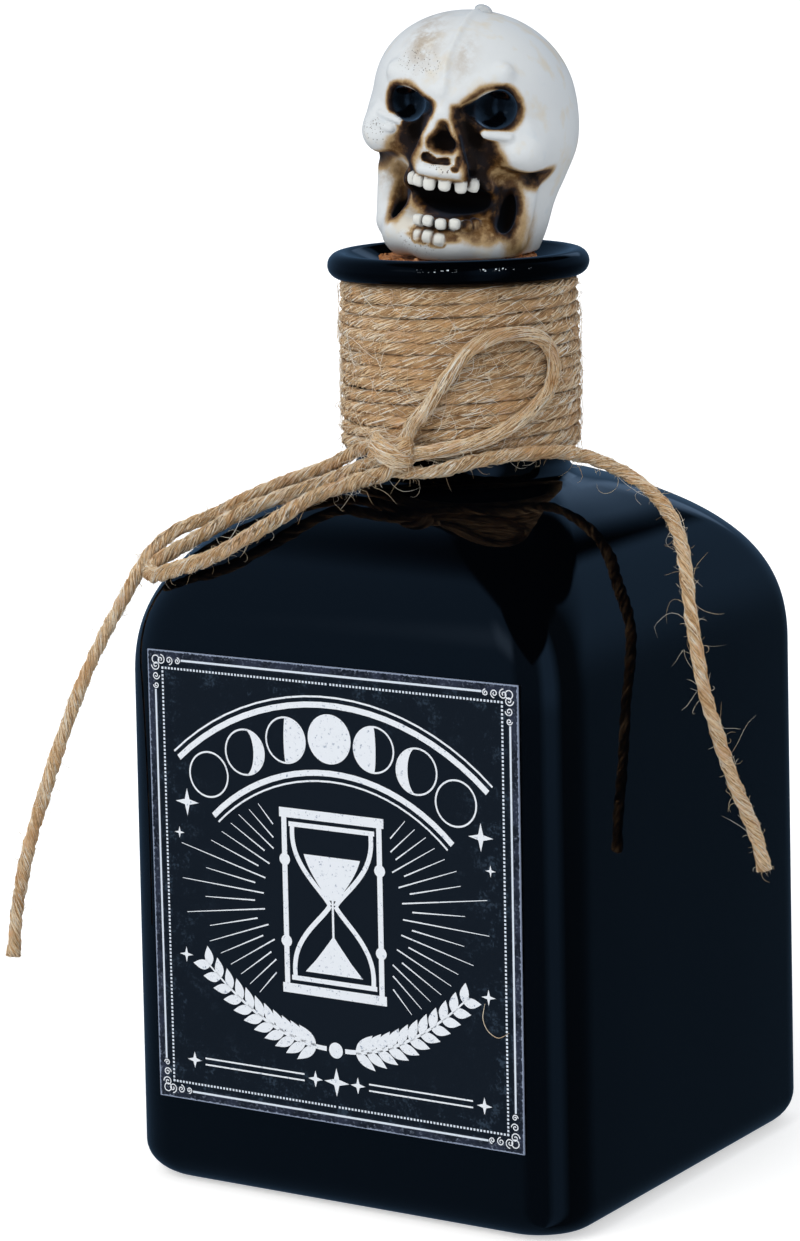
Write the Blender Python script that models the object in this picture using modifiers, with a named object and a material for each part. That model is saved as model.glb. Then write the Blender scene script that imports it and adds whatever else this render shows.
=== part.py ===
"""A decorative square bottle of black glass, closed by a cork that carries a moulded skull.

The origin is the centre of the base, +Z is up and the labelled front faces -Y. Jute twine is wound
round the neck and tied in a bow at the front. The cork lifts straight up out of the bore.
"""

import math
from typing import NamedTuple

import bmesh
import bpy
import numpy as np
from mathutils import Vector


class Section(NamedTuple):
    """One level cut through the glass: half its width, its corner radius and its height."""

    half: float
    corner: float
    height: float


class Lump(NamedTuple):
    """An ellipsoid of the skull, with the width over which it blends into the rest."""

    centre: tuple
    radii: tuple
    tilt_degrees: float
    blend: float
    paired: bool


class Bar(NamedTuple):
    """A round bar of the skull between two points, with its radius at each."""

    start: tuple
    end: tuple
    radii: tuple
    blend: float
    paired: bool


# Glass body
BODY_WIDTH = 0.0956
BODY_DRAFT = 0.0005
BODY_HEIGHT = 0.0956
CORNER_RADIUS = 0.0110
BASE_FILLET = 0.0062
GLASS_WALL = 0.0036
BASE_THICKNESS = 0.0075
FLOOR_FILLET = 0.0060

# Push-up under the base
PUNT_HALF_WIDTH = 0.0340
PUNT_CORNER_RADIUS = 0.0140
PUNT_DEPTH = 0.0024
PUNT_SLOPE_WIDTH = 0.0090

# Shoulder, drawn from the straight side up to the foot of the neck
SHOULDER_RISE = 0.0346
SHOULDER_PULL_LOW = 0.0138
SHOULDER_PULL_HIGH = 0.0223
SHOULDER_SLOPE_DEGREES = 23.4
CORNER_ROUNDING_POWER = 1.3

# Neck, rolled lip and dished mouth
NECK_RADIUS = 0.0197
NECK_FOOT_RADIUS = 0.0043
NECK_LENGTH = 0.0333
LIP_RADIUS = 0.02435
LIP_BEAD_RADIUS = 0.0024
BORE_RADIUS = 0.0150
DISH_DEPTH = 0.0030
DISH_RADIUS = 0.0166
BORE_EDGE_RADIUS = 0.0008

# Label on the front face
LABEL_WIDTH = 0.0790
LABEL_HEIGHT = 0.0850
LABEL_THICKNESS = 0.0003
LABEL_CORNER_RADIUS = 0.0006
LABEL_FOOT_HEIGHT = 0.0170
LABEL_SHIFT = 0.0005

# Cork, tapered towards its foot
CORK_CLEARANCE = 0.0003
CORK_LENGTH = 0.0270
CORK_TAPER = 0.0012
CORK_SUNK = 0.0010
CORK_CHAMFER = 0.0008

# Skull on the cork
SKULL_HEIGHT = 0.0444
SKULL_BREADTH = 0.0373
SKULL_DEPTH = 0.0460
SKULL_SET_BACK = 0.0035
SKULL_TURN_DEGREES = 15.3
SKULL_LEAN_DEGREES = 6.5
SKULL_CELL_SIZES = (0.0010, 0.0014, 0.0014)

# Forms of the skull before its turn and lean, as shares of half its breadth, depth and height from the middle
# of its foot. Radii of bars and blends are shares of half its mean size. Of a pair, the right one is given.
# Masses add to the skull, hollows are cut from it and brows lie over the hollows
SKULL_MASS_SHARES = (
    # Cranium, forehead and back of the head
    Lump((0.000, 0.043, 1.230), (0.997, 0.935, 0.779), 0, 0.047, True),
    Lump((0.000, -0.283, 1.419), (0.777, 0.565, 0.495), 0, 0.235, True),
    Lump((0.000, 0.239, 0.968), (0.928, 0.696, 0.518), 0, 0.235, True),
    # Cheekbones, rims under the eyes and arches of the cheeks
    Lump((0.660, -0.539, 0.955), (0.214, 0.196, 0.158), 0, 0.103, True),
    Bar((0.375, -0.757, 1.081), (0.729, -0.574, 1.153), (0.047, 0.056), 0.047, True),
    Lump((0.783, -0.196, 0.991), (0.182, 0.413, 0.207), 0, 0.188, True),
    # Bridge, two edges, face and lip of the nose plate
    Bar((0.000, -0.843, 1.378), (0.021, -0.909, 1.212), (0.080, 0.052), 0.047, True),
    Bar((0.032, -0.909, 1.212), (0.231, -0.865, 0.829), (0.061, 0.075), 0.023, True),
    Bar((-0.011, -0.909, 1.212), (-0.204, -0.865, 0.829), (0.061, 0.075), 0.023, False),
    Lump((0.021, -0.791, 0.991), (0.209, 0.152, 0.225), 0, 0.028, False),
    Lump((0.021, -0.757, 0.779), (0.338, 0.235, 0.104), 0, 0.038, False),
    # Upper jaw and its gum
    Lump((0.000, -0.600, 0.833), (0.408, 0.226, 0.288), 0, 0.047, True),
    Lump((0.000, -0.548, 0.613), (0.461, 0.296, 0.225), 0, 0.047, True),
    # Chin, sides of the jaw, its uprights and the throat
    Lump((0.000, -0.574, 0.162), (0.461, 0.300, 0.216), 0, 0.094, True),
    Lump((0.461, -0.370, 0.180), (0.236, 0.357, 0.234), 0, 0.117, True),
    Bar((0.654, -0.400, 0.225), (0.697, -0.296, 0.811), (0.103, 0.122), 0.094, True),
    Lump((0.000, -0.130, 0.315), (0.590, 0.417, 0.428), 0, 0.141, True),
)
SKULL_HOLLOW_SHARES = (
    # Right eye and left eye, each with its inner corner
    Lump((0.488, -0.809, 1.302), (0.220, 0.261, 0.176), 14, 0.019, False),
    Bar((0.225, -0.904, 1.270), (0.375, -0.843, 1.297), (0.070, 0.132), 0.019, False),
    Lump((-0.418, -0.817, 1.257), (0.198, 0.261, 0.158), -8, 0.019, False),
    Bar((-0.182, -0.904, 1.243), (-0.311, -0.861, 1.261), (0.066, 0.117), 0.019, False),
    # Nose
    Bar((0.032, -0.952, 1.117), (0.032, -0.935, 1.009), (0.038, 0.094), 0.014, False),
    Bar((-0.032, -0.935, 0.982), (0.097, -0.935, 0.982), (0.066, 0.066), 0.014, False),
    # Both sides of the nose plate
    Bar((0.214, -0.922, 1.207), (0.354, -0.861, 0.991), (0.061, 0.113), 0.028, True),
    Bar((0.354, -0.861, 0.991), (0.472, -0.765, 0.676), (0.117, 0.150), 0.028, True),
    # Mouth, openings behind the jaw and grooves under the cheeks
    Lump((0.032, -0.809, 0.509), (0.590, 0.409, 0.149), 0, 0.028, False),
    Lump((0.579, -0.539, 0.450), (0.097, 0.217, 0.189), 0, 0.033, True),
    Bar((0.579, -0.652, 0.757), (0.922, -0.274, 0.739), (0.038, 0.042), 0.056, True),
    # Marks below the nose
    Bar((-0.129, -0.978, 0.842), (0.107, -0.983, 0.842), (0.023, 0.028), 0.014, False),
    Bar((0.182, -0.965, 0.824), (0.236, -0.943, 0.883), (0.019, 0.019), 0.014, False),
)
SKULL_BROW_SHARES = (
    Bar((0.118, -0.870, 1.356), (0.504, -0.691, 1.586), (0.070, 0.089), 0.056, False),
    Bar((-0.043, -0.887, 1.392), (-0.558, -0.696, 1.491), (0.070, 0.089), 0.056, False),
)
# Rows of teeth, in the same shares: their places round the arch in degrees, their height, the arch's middle,
# its reach across and forward, and one tooth's radii
TOOTH_ROW_SHARES = (
    ((-58, -34, -11, 13, 36, 60), 0.644, -0.530, (0.365, 0.374), (0.062, 0.048, 0.063)),
    ((-45, -27, -8, 13, 34, 54), 0.329, -0.548, (0.343, 0.343), (0.064, 0.052, 0.054)),
)
TOOTH_BLEND_SHARE = 0.028
# Along each way across the skull: its two ends, then the two ends of the stretch with the finest faces
SKULL_GRID_SHARES = (
    (-1.35, 1.35, -0.66, 0.70),
    (-1.25, 1.25, -1.00, -0.72),
    (-0.15, 2.20, 0.22, 1.52),
)

# Clear glue dab on the crown
DAB_LENGTH = 0.0044
DAB_WIDTH = 0.0034
DAB_HEIGHT = 0.0011
DAB_PLACE = (0.0044, 0.0034)

# Twine
TWINE_DIAMETER = 0.0023
WOUND_TWINE_DIAMETER = 0.0019
WINDING_PITCH = 0.00238
WINDING_FOOT_MARGIN = 0.0020
WINDING_TOP_MARGIN = 0.0006

# Knot of the bow, at the front of the neck's foot
KNOT_WIDTH = 0.0082
KNOT_DEPTH = 0.0044
KNOT_HEIGHT = 0.0055
KNOT_PLACE = (0.0022, -0.0245, 0.1370)

# Routes of the free twine, each a run of points from the knot outwards
LEFT_TAIL_ROUTE = (
    (-0.0023, -0.0246, 0.1385), (-0.0046, -0.0244, 0.1385), (-0.0086, -0.0230, 0.1371),
    (-0.0126, -0.0217, 0.1351), (-0.0169, -0.0216, 0.1332), (-0.0217, -0.0231, 0.1314),
    (-0.0268, -0.0260, 0.1292), (-0.0310, -0.0284, 0.1271), (-0.0360, -0.0310, 0.1243),
    (-0.0415, -0.0335, 0.1219), (-0.0450, -0.0352, 0.1191), (-0.0474, -0.0368, 0.1159),
    (-0.0492, -0.0390, 0.1113), (-0.0508, -0.0412, 0.1069), (-0.0523, -0.0432, 0.1029),
    (-0.0548, -0.0463, 0.0954), (-0.0580, -0.0491, 0.0851), (-0.0612, -0.0516, 0.0738),
    (-0.0642, -0.0536, 0.0624), (-0.0664, -0.0546, 0.0517), (-0.0677, -0.0549, 0.0419),
)
LEFT_LOOP_ROUTE = (
    (0.0000, -0.0270, 0.1340), (-0.0016, -0.0275, 0.1334), (-0.0054, -0.0274, 0.1323),
    (-0.0099, -0.0273, 0.1307), (-0.0130, -0.0290, 0.1296), (-0.0156, -0.0319, 0.1279),
    (-0.0187, -0.0358, 0.1252), (-0.0225, -0.0391, 0.1225), (-0.0259, -0.0416, 0.1201),
    (-0.0305, -0.0432, 0.1179), (-0.0356, -0.0433, 0.1163), (-0.0393, -0.0427, 0.1150),
    (-0.0427, -0.0411, 0.1143), (-0.0444, -0.0391, 0.1149), (-0.0435, -0.0376, 0.1164),
    (-0.0409, -0.0366, 0.1181), (-0.0360, -0.0353, 0.1210), (-0.0337, -0.0344, 0.1224),
    (-0.0288, -0.0317, 0.1255), (-0.0238, -0.0294, 0.1277), (-0.0191, -0.0271, 0.1295),
    (-0.0140, -0.0249, 0.1314), (-0.0099, -0.0236, 0.1331), (-0.0062, -0.0233, 0.1346),
    (-0.0022, -0.0240, 0.1358),
)
UPPER_LOOP_ROUTE = (
    (0.0034, -0.0247, 0.1406), (0.0045, -0.0243, 0.1430), (0.0066, -0.0228, 0.1456),
    (0.0090, -0.0218, 0.1495), (0.0114, -0.0206, 0.1530), (0.0133, -0.0194, 0.1558),
    (0.0159, -0.0173, 0.1578), (0.0185, -0.0146, 0.1588), (0.0211, -0.0107, 0.1586),
    (0.0226, -0.0070, 0.1567), (0.0231, -0.0050, 0.1533), (0.0230, -0.0056, 0.1497),
    (0.0225, -0.0073, 0.1470), (0.0211, -0.0105, 0.1443), (0.0195, -0.0132, 0.1424),
    (0.0171, -0.0163, 0.1406), (0.0136, -0.0193, 0.1391), (0.0098, -0.0219, 0.1382),
    (0.0068, -0.0242, 0.1377),
)
RIGHT_TAIL_ROUTE = (
    (0.0060, -0.0246, 0.1341), (0.0079, -0.0237, 0.1342), (0.0112, -0.0213, 0.1350),
    (0.0150, -0.0182, 0.1361), (0.0184, -0.0147, 0.1366), (0.0208, -0.0109, 0.1367),
    (0.0226, -0.0068, 0.1365), (0.0248, -0.0026, 0.1359), (0.0289, 0.0010, 0.1342),
    (0.0346, 0.0020, 0.1317), (0.0386, 0.0016, 0.1296), (0.0429, 0.0002, 0.1266),
    (0.0464, -0.0019, 0.1233), (0.0489, -0.0041, 0.1194), (0.0509, -0.0063, 0.1144),
    (0.0526, -0.0081, 0.1088), (0.0543, -0.0093, 0.1031), (0.0556, -0.0096, 0.0972),
    (0.0566, -0.0089, 0.0922), (0.0578, -0.0077, 0.0867), (0.0593, -0.0061, 0.0799),
    (0.0611, -0.0043, 0.0736), (0.0627, -0.0028, 0.0679), (0.0638, -0.0016, 0.0615),
)
TWINE_STEP_SHARE = 2.6

# Thin gap that touching pieces keep
TOUCH_GAP = 0.0003
WELD_DISTANCE = 0.000002

# Counts
CORNER_STEPS = 6
SHOULDER_STEPS = 10
ARC_STEPS = 4
BEAD_STEPS = 9
ROUND_SIDES = 40
LOOP_POINTS = 24
FINE_STEPS = 12
NEIGHBOUR_SHARE = 2.5
BALL_SIDES = 16
BALL_RINGS = 10
SKULL_CELL_GROWTH = 1.35
SKULL_CELL_LIMIT = 2.0
SKULL_SHARP_DEGREES = 60.0
FLAT_DEGREES = 1.0
TINY = 1e-6

# Levels and widths that follow from the sizes above
SHOULDER_SLOPE = math.radians(SHOULDER_SLOPE_DEGREES)
HALF_WIDTH = BODY_WIDTH / 2
NECK_FOOT_HEIGHT = BODY_HEIGHT + SHOULDER_RISE
NECK_STRAIGHT_FOOT = NECK_FOOT_HEIGHT + NECK_FOOT_RADIUS * math.cos(SHOULDER_SLOPE)
NECK_TOP = NECK_STRAIGHT_FOOT + NECK_LENGTH
LIP_TOP = NECK_TOP + 2 * LIP_BEAD_RADIUS
BORE_TOP = LIP_TOP - DISH_DEPTH
CORK_RADIUS = BORE_RADIUS - CORK_CLEARANCE
CORK_TOP = LIP_TOP - CORK_SUNK
SKULL_FOOT = CORK_TOP + TOUCH_GAP


def clear_scene():
    """Removes every object of the open file, so that the model starts from nothing."""
    for thing in list(bpy.data.objects):
        bpy.data.objects.remove(thing, do_unlink=True)


def new_collection(name):
    """Returns a collection of that name, linked to the scene."""
    collection = bpy.data.collections.new(name)
    bpy.context.scene.collection.children.link(collection)
    return collection


def new_material(name, colour, roughness, metallic=0.0):
    """Returns a Principled material of one colour."""
    material = bpy.data.materials.new(name)
    material.use_nodes = True
    shader = material.node_tree.nodes["Principled BSDF"]
    shader.inputs["Base Color"].default_value = (*colour, 1.0)
    shader.inputs["Roughness"].default_value = roughness
    shader.inputs["Metallic"].default_value = metallic
    return material


def add_object(name, data, material, collection, parent=None):
    """Makes an object from mesh or curve data, with its material, in the collection."""
    thing = bpy.data.objects.new(name, data)
    data.materials.append(material)
    collection.objects.link(thing)
    if parent is not None:
        thing.parent = parent
        thing.matrix_parent_inverse = parent.matrix_world.inverted()
    return thing


def smooth_mesh(mesh, sharp_degrees=35.0):
    """Shades a mesh smooth, with the edges steeper than the angle kept sharp."""
    mesh.shade_smooth()
    mesh.set_sharp_from_angle(angle=math.radians(sharp_degrees))


def arc(centre_across, centre_up, radius, start, end, steps):
    """Yields points across and up along an arc, its angles in radians from straight out."""
    for step in range(steps + 1):
        angle = start + (end - start) * step / steps
        yield centre_across + radius * math.cos(angle), centre_up + radius * math.sin(angle)


def side_at(height):
    """Half the body's outer width at a height of its straight side, which the draft widens downward."""
    return HALF_WIDTH + BODY_DRAFT * (1 - height / BODY_HEIGHT)


def shoulder_corner(half):
    """The corner radius of the outer shoulder, which grows from the body's to the round neck's."""
    share = (HALF_WIDTH - half) / (HALF_WIDTH - NECK_RADIUS)
    grown = CORNER_RADIUS + (NECK_RADIUS - CORNER_RADIUS) * max(share, 0) ** CORNER_ROUNDING_POWER
    return min(max(grown, CORNER_RADIUS), half)


def shoulder_curve(share):
    """A point of the shoulder's side view and its outward normal, as (half, height, across, up)."""
    foot = Vector((HALF_WIDTH, BODY_HEIGHT))
    head = Vector((NECK_RADIUS + NECK_FOOT_RADIUS * (1 - math.sin(SHOULDER_SLOPE)), NECK_FOOT_HEIGHT))
    low = foot + Vector((0, SHOULDER_PULL_LOW))
    high = head + SHOULDER_PULL_HIGH * Vector((math.cos(SHOULDER_SLOPE), -math.sin(SHOULDER_SLOPE)))
    rest = 1 - share
    point = rest**3 * foot + 3 * rest**2 * share * low + 3 * rest * share**2 * high + share**3 * head
    along = 3 * rest**2 * (low - foot) + 6 * rest * share * (high - low) + 3 * share**2 * (head - high)
    normal = Vector((along.y, -along.x)).normalized()
    return point.x, point.y, normal.x, normal.y


def outer_sections():
    """The outside of the glass from the push-up under the base to the top of the straight neck."""
    punt_corner = PUNT_CORNER_RADIUS
    yield Section(PUNT_HALF_WIDTH - PUNT_SLOPE_WIDTH, punt_corner, PUNT_DEPTH)
    yield Section(PUNT_HALF_WIDTH, punt_corner, 0)
    base_half = side_at(0)
    for across, up in arc(base_half - BASE_FILLET, BASE_FILLET, BASE_FILLET, -math.pi / 2, 0, ARC_STEPS):
        yield Section(across, CORNER_RADIUS - (base_half - across) / 2, up)
    for step in range(SHOULDER_STEPS):
        half, height, _, _ = shoulder_curve(step / SHOULDER_STEPS)
        yield Section(half, shoulder_corner(half), height)
    start = -math.pi / 2 - SHOULDER_SLOPE
    for across, up in arc(NECK_RADIUS + NECK_FOOT_RADIUS, NECK_STRAIGHT_FOOT, NECK_FOOT_RADIUS,
                          start, -math.pi, ARC_STEPS):
        yield Section(across, across, up)
    yield Section(NECK_RADIUS, NECK_RADIUS, NECK_TOP)


def lip_sections():
    """The rolled lip, from its underside over the bead and down the dish to the bore's edge."""
    bead_across = LIP_RADIUS - LIP_BEAD_RADIUS
    bead_up = NECK_TOP + LIP_BEAD_RADIUS
    for across, up in arc(bead_across, bead_up, LIP_BEAD_RADIUS, -math.pi / 2, math.pi * 3 / 4, BEAD_STEPS):
        yield Section(across, across, up)
    yield Section(DISH_RADIUS, DISH_RADIUS, BORE_TOP + BORE_EDGE_RADIUS)
    for across, up in arc(BORE_RADIUS + BORE_EDGE_RADIUS, BORE_TOP - BORE_EDGE_RADIUS, BORE_EDGE_RADIUS,
                          math.pi / 2, math.pi, 2):
        yield Section(across, across, up)


def inner_sections():
    """The inside of the glass, from the bore's foot down the shoulder to the floor."""
    neck_wall = NECK_RADIUS - BORE_RADIUS
    start = -math.pi / 2 - SHOULDER_SLOPE
    for step in range(ARC_STEPS + 1):
        share = step / ARC_STEPS
        angle = -math.pi + (start + math.pi) * share
        reach = NECK_FOOT_RADIUS + neck_wall + (GLASS_WALL - neck_wall) * share
        across = NECK_RADIUS + NECK_FOOT_RADIUS + reach * math.cos(angle)
        yield Section(across, across, NECK_STRAIGHT_FOOT + reach * math.sin(angle))
    for step in range(SHOULDER_STEPS - 1, -1, -1):
        half, height, out_across, out_up = shoulder_curve(step / SHOULDER_STEPS)
        inner_half = half - GLASS_WALL * out_across
        corner = min(max(shoulder_corner(half) - GLASS_WALL, 0), inner_half)
        yield Section(inner_half, corner, height - GLASS_WALL * out_up)
    floor_half = side_at(BASE_THICKNESS) - GLASS_WALL
    for across, up in arc(floor_half - FLOOR_FILLET, BASE_THICKNESS + FLOOR_FILLET, FLOOR_FILLET,
                          0, -math.pi / 2, ARC_STEPS):
        yield Section(across, CORNER_RADIUS - GLASS_WALL - (floor_half - across) / 2, up)


def quarter_angles(section):
    """The angles of one quarter of a section, closer together round its corner while it is square."""
    flat = section.half - section.corner
    flat_end = math.atan2(flat, section.half)
    drawn = [0, flat_end / 2]
    for step in range(CORNER_STEPS + 1):
        turn = math.pi / 2 * step / CORNER_STEPS
        across = flat + section.corner * math.cos(turn)
        drawn.append(math.atan2(flat + section.corner * math.sin(turn), across))
    drawn.append(math.pi / 2 - flat_end / 2)
    body_share = CORNER_RADIUS / HALF_WIDTH
    roundness = (section.corner / section.half - body_share) / (1 - body_share)
    roundness = min(max(roundness, 0), 1)
    even = [math.pi / 2 * step / len(drawn) for step in range(len(drawn))]
    return [(1 - roundness) * own + roundness * level for own, level in zip(drawn, even)]


def reach_of(section, angle):
    """How far a rounded square reaches from its centre at an angle between 0 and a quarter turn."""
    along, over = math.cos(angle), math.sin(angle)
    flat = section.half - section.corner
    if over * section.half <= flat * along:
        return section.half / along
    if along * section.half <= flat * over:
        return section.half / over
    middle = flat * (along + over)
    return middle + math.sqrt(max(middle**2 - 2 * flat**2 + section.corner**2, 0))


def section_points(section):
    """The points round a rounded square section, a quarter at a time."""
    points = []
    for quarter in range(4):
        for angle in quarter_angles(section):
            reach = reach_of(section, angle)
            turn = quarter * math.pi / 2 + angle
            points.append(Vector((reach * math.cos(turn), reach * math.sin(turn), section.height)))
    return points


def loft(name, sections):
    """A closed mesh through sections with equal point counts, capped at its first and last."""
    shape = bmesh.new()
    rings = [[shape.verts.new(point) for point in section_points(section)] for section in sections]
    for low, high in zip(rings, rings[1:]):
        for here in range(len(low)):
            after = (here + 1) % len(low)
            shape.faces.new((low[here], low[after], high[after], high[here]))
    shape.faces.new(list(reversed(rings[0])))
    shape.faces.new(rings[-1])
    mesh = bpy.data.meshes.new(name)
    shape.to_mesh(mesh)
    shape.free()
    smooth_mesh(mesh)
    return mesh


def build_bottle(collection):
    """The hollow glass bottle, open at its mouth."""
    black_glass = new_material("black_glass", (0.008, 0.012, 0.020), 0.06)
    mesh = loft("glass_bottle", [*outer_sections(), *lip_sections(), *inner_sections()])
    return add_object("glass_bottle", mesh, black_glass, collection)


def build_label(collection):
    """The thin label, flat against the front face and leaning with its draft."""
    print_black = new_material("label_print", (0.035, 0.040, 0.055), 0.45)
    outline = bpy.data.curves.new("front_label", "CURVE")
    outline.dimensions = "2D"
    outline.fill_mode = "BOTH"
    outline.extrude = LABEL_THICKNESS / 2
    corners = []
    for quarter, (side, end) in enumerate(((1, 1), (-1, 1), (-1, -1), (1, -1))):
        across = side * (LABEL_WIDTH / 2 - LABEL_CORNER_RADIUS)
        up = end * (LABEL_HEIGHT / 2 - LABEL_CORNER_RADIUS)
        start = quarter * math.pi / 2
        corners.extend(arc(across, up, LABEL_CORNER_RADIUS, start, start + math.pi / 2, 2))
    spline = outline.splines.new("POLY")
    spline.points.add(len(corners) - 1)
    for point, (across, up) in zip(spline.points, corners):
        point.co = (across, up, 0, 1)
    spline.use_cyclic_u = True
    label = add_object("front_label", outline, print_black, collection)
    lean = math.atan2(BODY_DRAFT, BODY_HEIGHT)
    middle = LABEL_FOOT_HEIGHT + LABEL_HEIGHT / 2
    label.rotation_euler = (math.pi / 2 - lean, 0, 0)
    label.location = (LABEL_SHIFT, -(side_at(middle) + TOUCH_GAP + LABEL_THICKNESS / 2), middle)
    return label


def build_cork(collection, stopper):
    """The tapered cork, which stands a little proud of the lip."""
    cork_grain = new_material("cork", (0.55, 0.27, 0.11), 0.85)
    shape = bmesh.new()
    bmesh.ops.create_cone(shape, cap_ends=True, segments=ROUND_SIDES, radius1=CORK_RADIUS - CORK_TAPER,
                          radius2=CORK_RADIUS, depth=CORK_LENGTH)
    mesh = bpy.data.meshes.new("cork_stopper")
    shape.to_mesh(mesh)
    shape.free()
    cork = add_object("cork_stopper", mesh, cork_grain, collection, stopper)
    cork.location = (0, 0, CORK_TOP - CORK_LENGTH / 2)
    bevel = cork.modifiers.new("worn_edges", "BEVEL")
    bevel.width = CORK_CHAMFER
    bevel.segments = 2
    smooth_mesh(mesh)
    return cork


def blend_union(first, second, width):
    """The smooth union of two distance fields, rounded over the blend's width."""
    near = np.maximum(width - np.abs(first - second), 0) / max(width, TINY)
    return np.minimum(first, second) - near**2 * width / 4


def outside_lump(points, lump):
    """About how far points lie outside an ellipsoid that is tilted in the plane across and up."""
    turn = math.radians(lump.tilt_degrees)
    across, back, up = (points - np.array(lump.centre)).T
    local = np.stack([across * math.cos(turn) + up * math.sin(turn), back,
                      up * math.cos(turn) - across * math.sin(turn)], axis=1)
    ratio = np.linalg.norm(local / np.array(lump.radii), axis=1)
    slope = np.linalg.norm(local / np.array(lump.radii) ** 2, axis=1)
    return ratio * (ratio - 1) / np.maximum(slope, TINY)


def outside_bar(points, bar):
    """How far points lie outside a round bar whose radius changes evenly along it."""
    start = np.array(bar.start)
    run = np.array(bar.end) - start
    share = np.clip((points - start) @ run / run.dot(run), 0, 1)
    radius = bar.radii[0] + (bar.radii[1] - bar.radii[0]) * share
    return np.linalg.norm(points - start - share[:, None] * run, axis=1) - radius


def outside(points, form):
    """How far points lie outside a form, or outside either of a pair."""
    folded = points.copy()
    if form.paired:
        folded[:, 0] = np.abs(folded[:, 0])
    if isinstance(form, Lump):
        return outside_lump(folded, form)
    return outside_bar(folded, form)


def skull_field(points):
    """The skull's distance field in shares of its half sizes."""
    field = outside(points, SKULL_MASS_SHARES[0])
    for form in SKULL_MASS_SHARES[1:]:
        field = blend_union(field, outside(points, form), form.blend)
    for form in SKULL_HOLLOW_SHARES:
        field = -blend_union(-field, outside(points, form), form.blend)
    for form in SKULL_BROW_SHARES:
        field = blend_union(field, outside(points, form), form.blend)
    for places, height, middle, reach, radii in TOOTH_ROW_SHARES:
        for place in places:
            turn = math.radians(place)
            centre = (reach[0] * math.sin(turn), middle - reach[1] * math.cos(turn), height)
            tooth = Lump(centre, radii, 0, TOOTH_BLEND_SHARE, False)
            field = blend_union(field, outside_lump(points, tooth), TOOTH_BLEND_SHARE)
    return field


def graded_places(low, high, fine_from, fine_to, fine_step):
    """Places from low to high, a fine step apart between two of them and further apart beyond."""
    places = [fine_from]
    while places[-1] < fine_to:
        places.append(places[-1] + fine_step)
    limit = fine_step * SKULL_CELL_LIMIT
    while places[-1] < high:
        places.append(places[-1] + min((places[-1] - places[-2]) * SKULL_CELL_GROWTH, limit))
    while places[0] > low:
        places.insert(0, places[0] - min((places[1] - places[0]) * SKULL_CELL_GROWTH, limit))
    return np.array(places)


def filled_pinches(values):
    """Turns grid points inside wherever the surface would touch itself at an edge or a point."""
    values = values.copy()
    before = None
    while before is None or not np.array_equal(before, values < 0):
        before = values < 0
        for axis in range(3):
            turned = np.moveaxis(values, axis, 0)
            here, after = turned[:, :-1, :-1], turned[:, 1:, :-1]
            beside, beyond = turned[:, :-1, 1:], turned[:, 1:, 1:]
            pinched = ((here < 0) == (beyond < 0)) & ((after < 0) == (beside < 0))
            pinched &= (here < 0) != (after < 0)
            for corner in (here, after, beside, beyond):
                corner[pinched] = -np.abs(corner[pinched])
        corners = [values[x:x - 1 or None, y:y - 1 or None, z:z - 1 or None]
                   for x in (0, 1) for y in (0, 1) for z in (0, 1)]
        count = sum((corner < 0).astype(int) for corner in corners)
        for first in range(4):
            near, far = corners[first] < 0, corners[7 - first] < 0
            lone = (near == far) & (count == np.where(near, 2, 6))
            for corner in corners:
                corner[lone] = -np.abs(corner[lone])
    return values


def surface_of(values, places):
    """Points and four-sided faces of the closed surface where values on a grid change sign."""
    cells = tuple(size - 1 for size in values.shape)
    sums = np.zeros((*cells, 3))
    hits = np.zeros(cells)
    crossings = []
    for axis in range(3):
        low = np.moveaxis(values, axis, 0)[:-1]
        high = np.moveaxis(values, axis, 0)[1:]
        crossing = (low < 0) != (high < 0)
        share = np.where(crossing, low / np.where(crossing, low - high, 1), 0)
        crossings.append((crossing, low < 0))
        others = [other for other in range(3) if other != axis]
        cell_sums = np.moveaxis(sums, axis, 0)
        cell_hits = np.moveaxis(hits, axis, 0)
        for first in (0, 1):
            for second in (0, 1):
                window = np.s_[:, first:first + cell_hits.shape[1], second:second + cell_hits.shape[2]]
                cell_hits += crossing[window]
                cell_sums[..., axis] += share[window]
                cell_sums[..., others[0]] += first * crossing[window]
                cell_sums[..., others[1]] += second * crossing[window]
    met = hits > 0
    numbers = np.cumsum(met).reshape(cells) - 1
    spots = np.argwhere(met) + sums[met] / hits[met][:, None]
    columns = [np.interp(spots[:, axis], range(len(places[axis])), places[axis]) for axis in range(3)]
    points = np.stack(columns, axis=1)
    faces = []
    for axis, (crossing, leaving) in enumerate(crossings):
        numbered = np.moveaxis(numbers, axis, 0)
        for here, first, second in np.argwhere(crossing[:, 1:-1, 1:-1]):
            ring = [numbered[here, first, second], numbered[here, first + 1, second],
                    numbered[here, first + 1, second + 1], numbered[here, first, second + 1]]
            if leaving[here, first + 1, second + 1] == (axis == 1):
                ring.reverse()
            faces.append([int(number) for number in ring])
    return points, faces


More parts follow.
